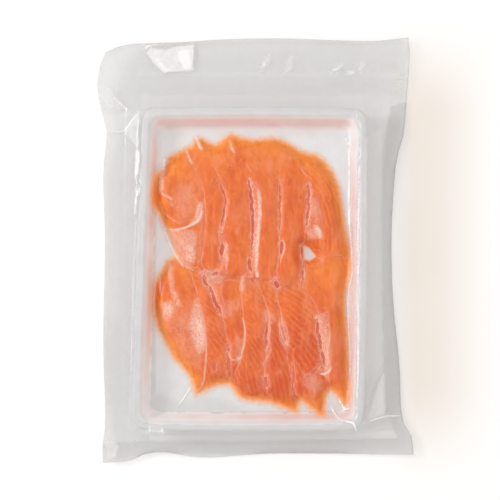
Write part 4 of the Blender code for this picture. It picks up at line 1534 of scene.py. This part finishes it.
# Where the floor's soft shade begins and ends to the right, and how far it reaches up and down.
SHADE_LEFT = (84.0, 104.0)
SHADE_RIGHT = (105.0, 165.0)
SHADE_ENDS = (80.0, 160.0)


def floor_material(settings):
    make = Maker("pale_floor")
    x, y, _ = make.node("ShaderNodeSeparateXYZ", None, {0: make.places}, output=None)
    x, y = x / MM, y / MM
    across = x.step(*SHADE_LEFT) * (1 - x.step(*SHADE_RIGHT))
    shade = across * (1 - y.size().step(*SHADE_ENDS)) * (0.85 + 0.3 * make.noise(60.0, detail=1.0))
    return make.principled(Base_Color=make.mix(shade, settings.floor, settings.shade), Roughness=0.9)


class PACK_OT_stage(bpy.types.Operator):
    """Makes the pale floor, the soft light and the camera that looks straight down"""

    bl_idname = "pack.stage"
    bl_label = "Stage"

    def execute(self, context):
        settings = context.scene.pack_stage
        scene = context.scene
        scene.view_settings.view_transform = "Standard"
        self.make_floor(settings)
        self.make_key(settings)
        world = bpy.data.worlds.new("studio")
        world.use_nodes = True
        world.node_tree.nodes["Background"].inputs["Color"].default_value = settings.fill
        scene.world = world
        data = bpy.data.cameras.new("camera")
        data.sensor_width = SENSOR
        data.lens = SENSOR * CAMERA_HEIGHT / (VIEW_SIDE * MM_PER_PIXEL)
        camera = bpy.data.objects.new("camera", data)
        camera.location = [part * MM for part in (*on_pack(VIEW_MIDDLE_PIXEL), CAMERA_HEIGHT)]
        scene.collection.objects.link(camera)
        scene.camera = camera
        return {"FINISHED"}

    def make_floor(self, settings):
        """A plain floor a little below the pack."""
        bm = bmesh.new()
        bmesh.ops.create_grid(bm, x_segments=1, y_segments=1, size=FLOOR_REACH)
        bmesh.ops.translate(bm, verts=bm.verts[:], vec=(0.0, 0.0, -FLOOR_GAP))
        thing_of("floor", bm, floor_material(settings))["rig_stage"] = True

    def make_key(self, settings):
        """A soft box low on the left that faces the pack."""
        data = bpy.data.lights.new("key", "AREA")
        data.size = KEY_SIDE * MM
        data.energy = settings.key_power
        data.color = settings.key_tint[:3]
        light = bpy.data.objects.new("key", data)
        light.location = [part * MM for part in KEY_SPOT]
        light.rotation_mode = "QUATERNION"
        light.rotation_quaternion = (-light.location).to_track_quat("-Z", "Y")
        bpy.context.scene.collection.objects.link(light)


# ---------------------------------------------------------------- panel
class PACK_PT_pack(bpy.types.Panel):
    """Lists the pack's pieces and their settings"""

    bl_label = "Vacuum Pack"
    bl_idname = "PACK_PT_pack"
    bl_space_type = "VIEW_3D"
    bl_region_type = "UI"
    bl_category = "Vacuum Pack"

    def draw(self, context):
        for label, (group, operators) in PARTS.items():
            box = self.layout.box()
            settings = getattr(context.scene, label)
            for key in group.__annotations__:
                box.prop(settings, key)
            for operator in operators:
                box.operator(operator.bl_idname)


PARTS = {
    "pack_tray": (TraySettings, [PACK_OT_tray]),
    "pack_slices": (SliceSettings, [PACK_OT_bed, PACK_OT_slices]),
    "pack_film": (FilmSettings, [PACK_OT_film]),
    "pack_stage": (StageSettings, [PACK_OT_stage]),
}


def register():
    for label, (group, operators) in PARTS.items():
        bpy.utils.register_class(group)
        for operator in operators:
            bpy.utils.register_class(operator)
        setattr(bpy.types.Scene, label, bpy.props.PointerProperty(type=group))
    bpy.utils.register_class(PACK_PT_pack)


def unregister():
    bpy.utils.unregister_class(PACK_PT_pack)
    for label, (group, operators) in reversed(PARTS.items()):
        delattr(bpy.types.Scene, label)
        for operator in operators:
            bpy.utils.unregister_class(operator)
        bpy.utils.unregister_class(group)


def main():
    register()
    bpy.ops.pack.stage()
    bpy.ops.pack.tray()
    bpy.ops.pack.bed()
    bpy.ops.pack.slices()
    bpy.ops.pack.film()


if __name__ == "__main__":
    main()
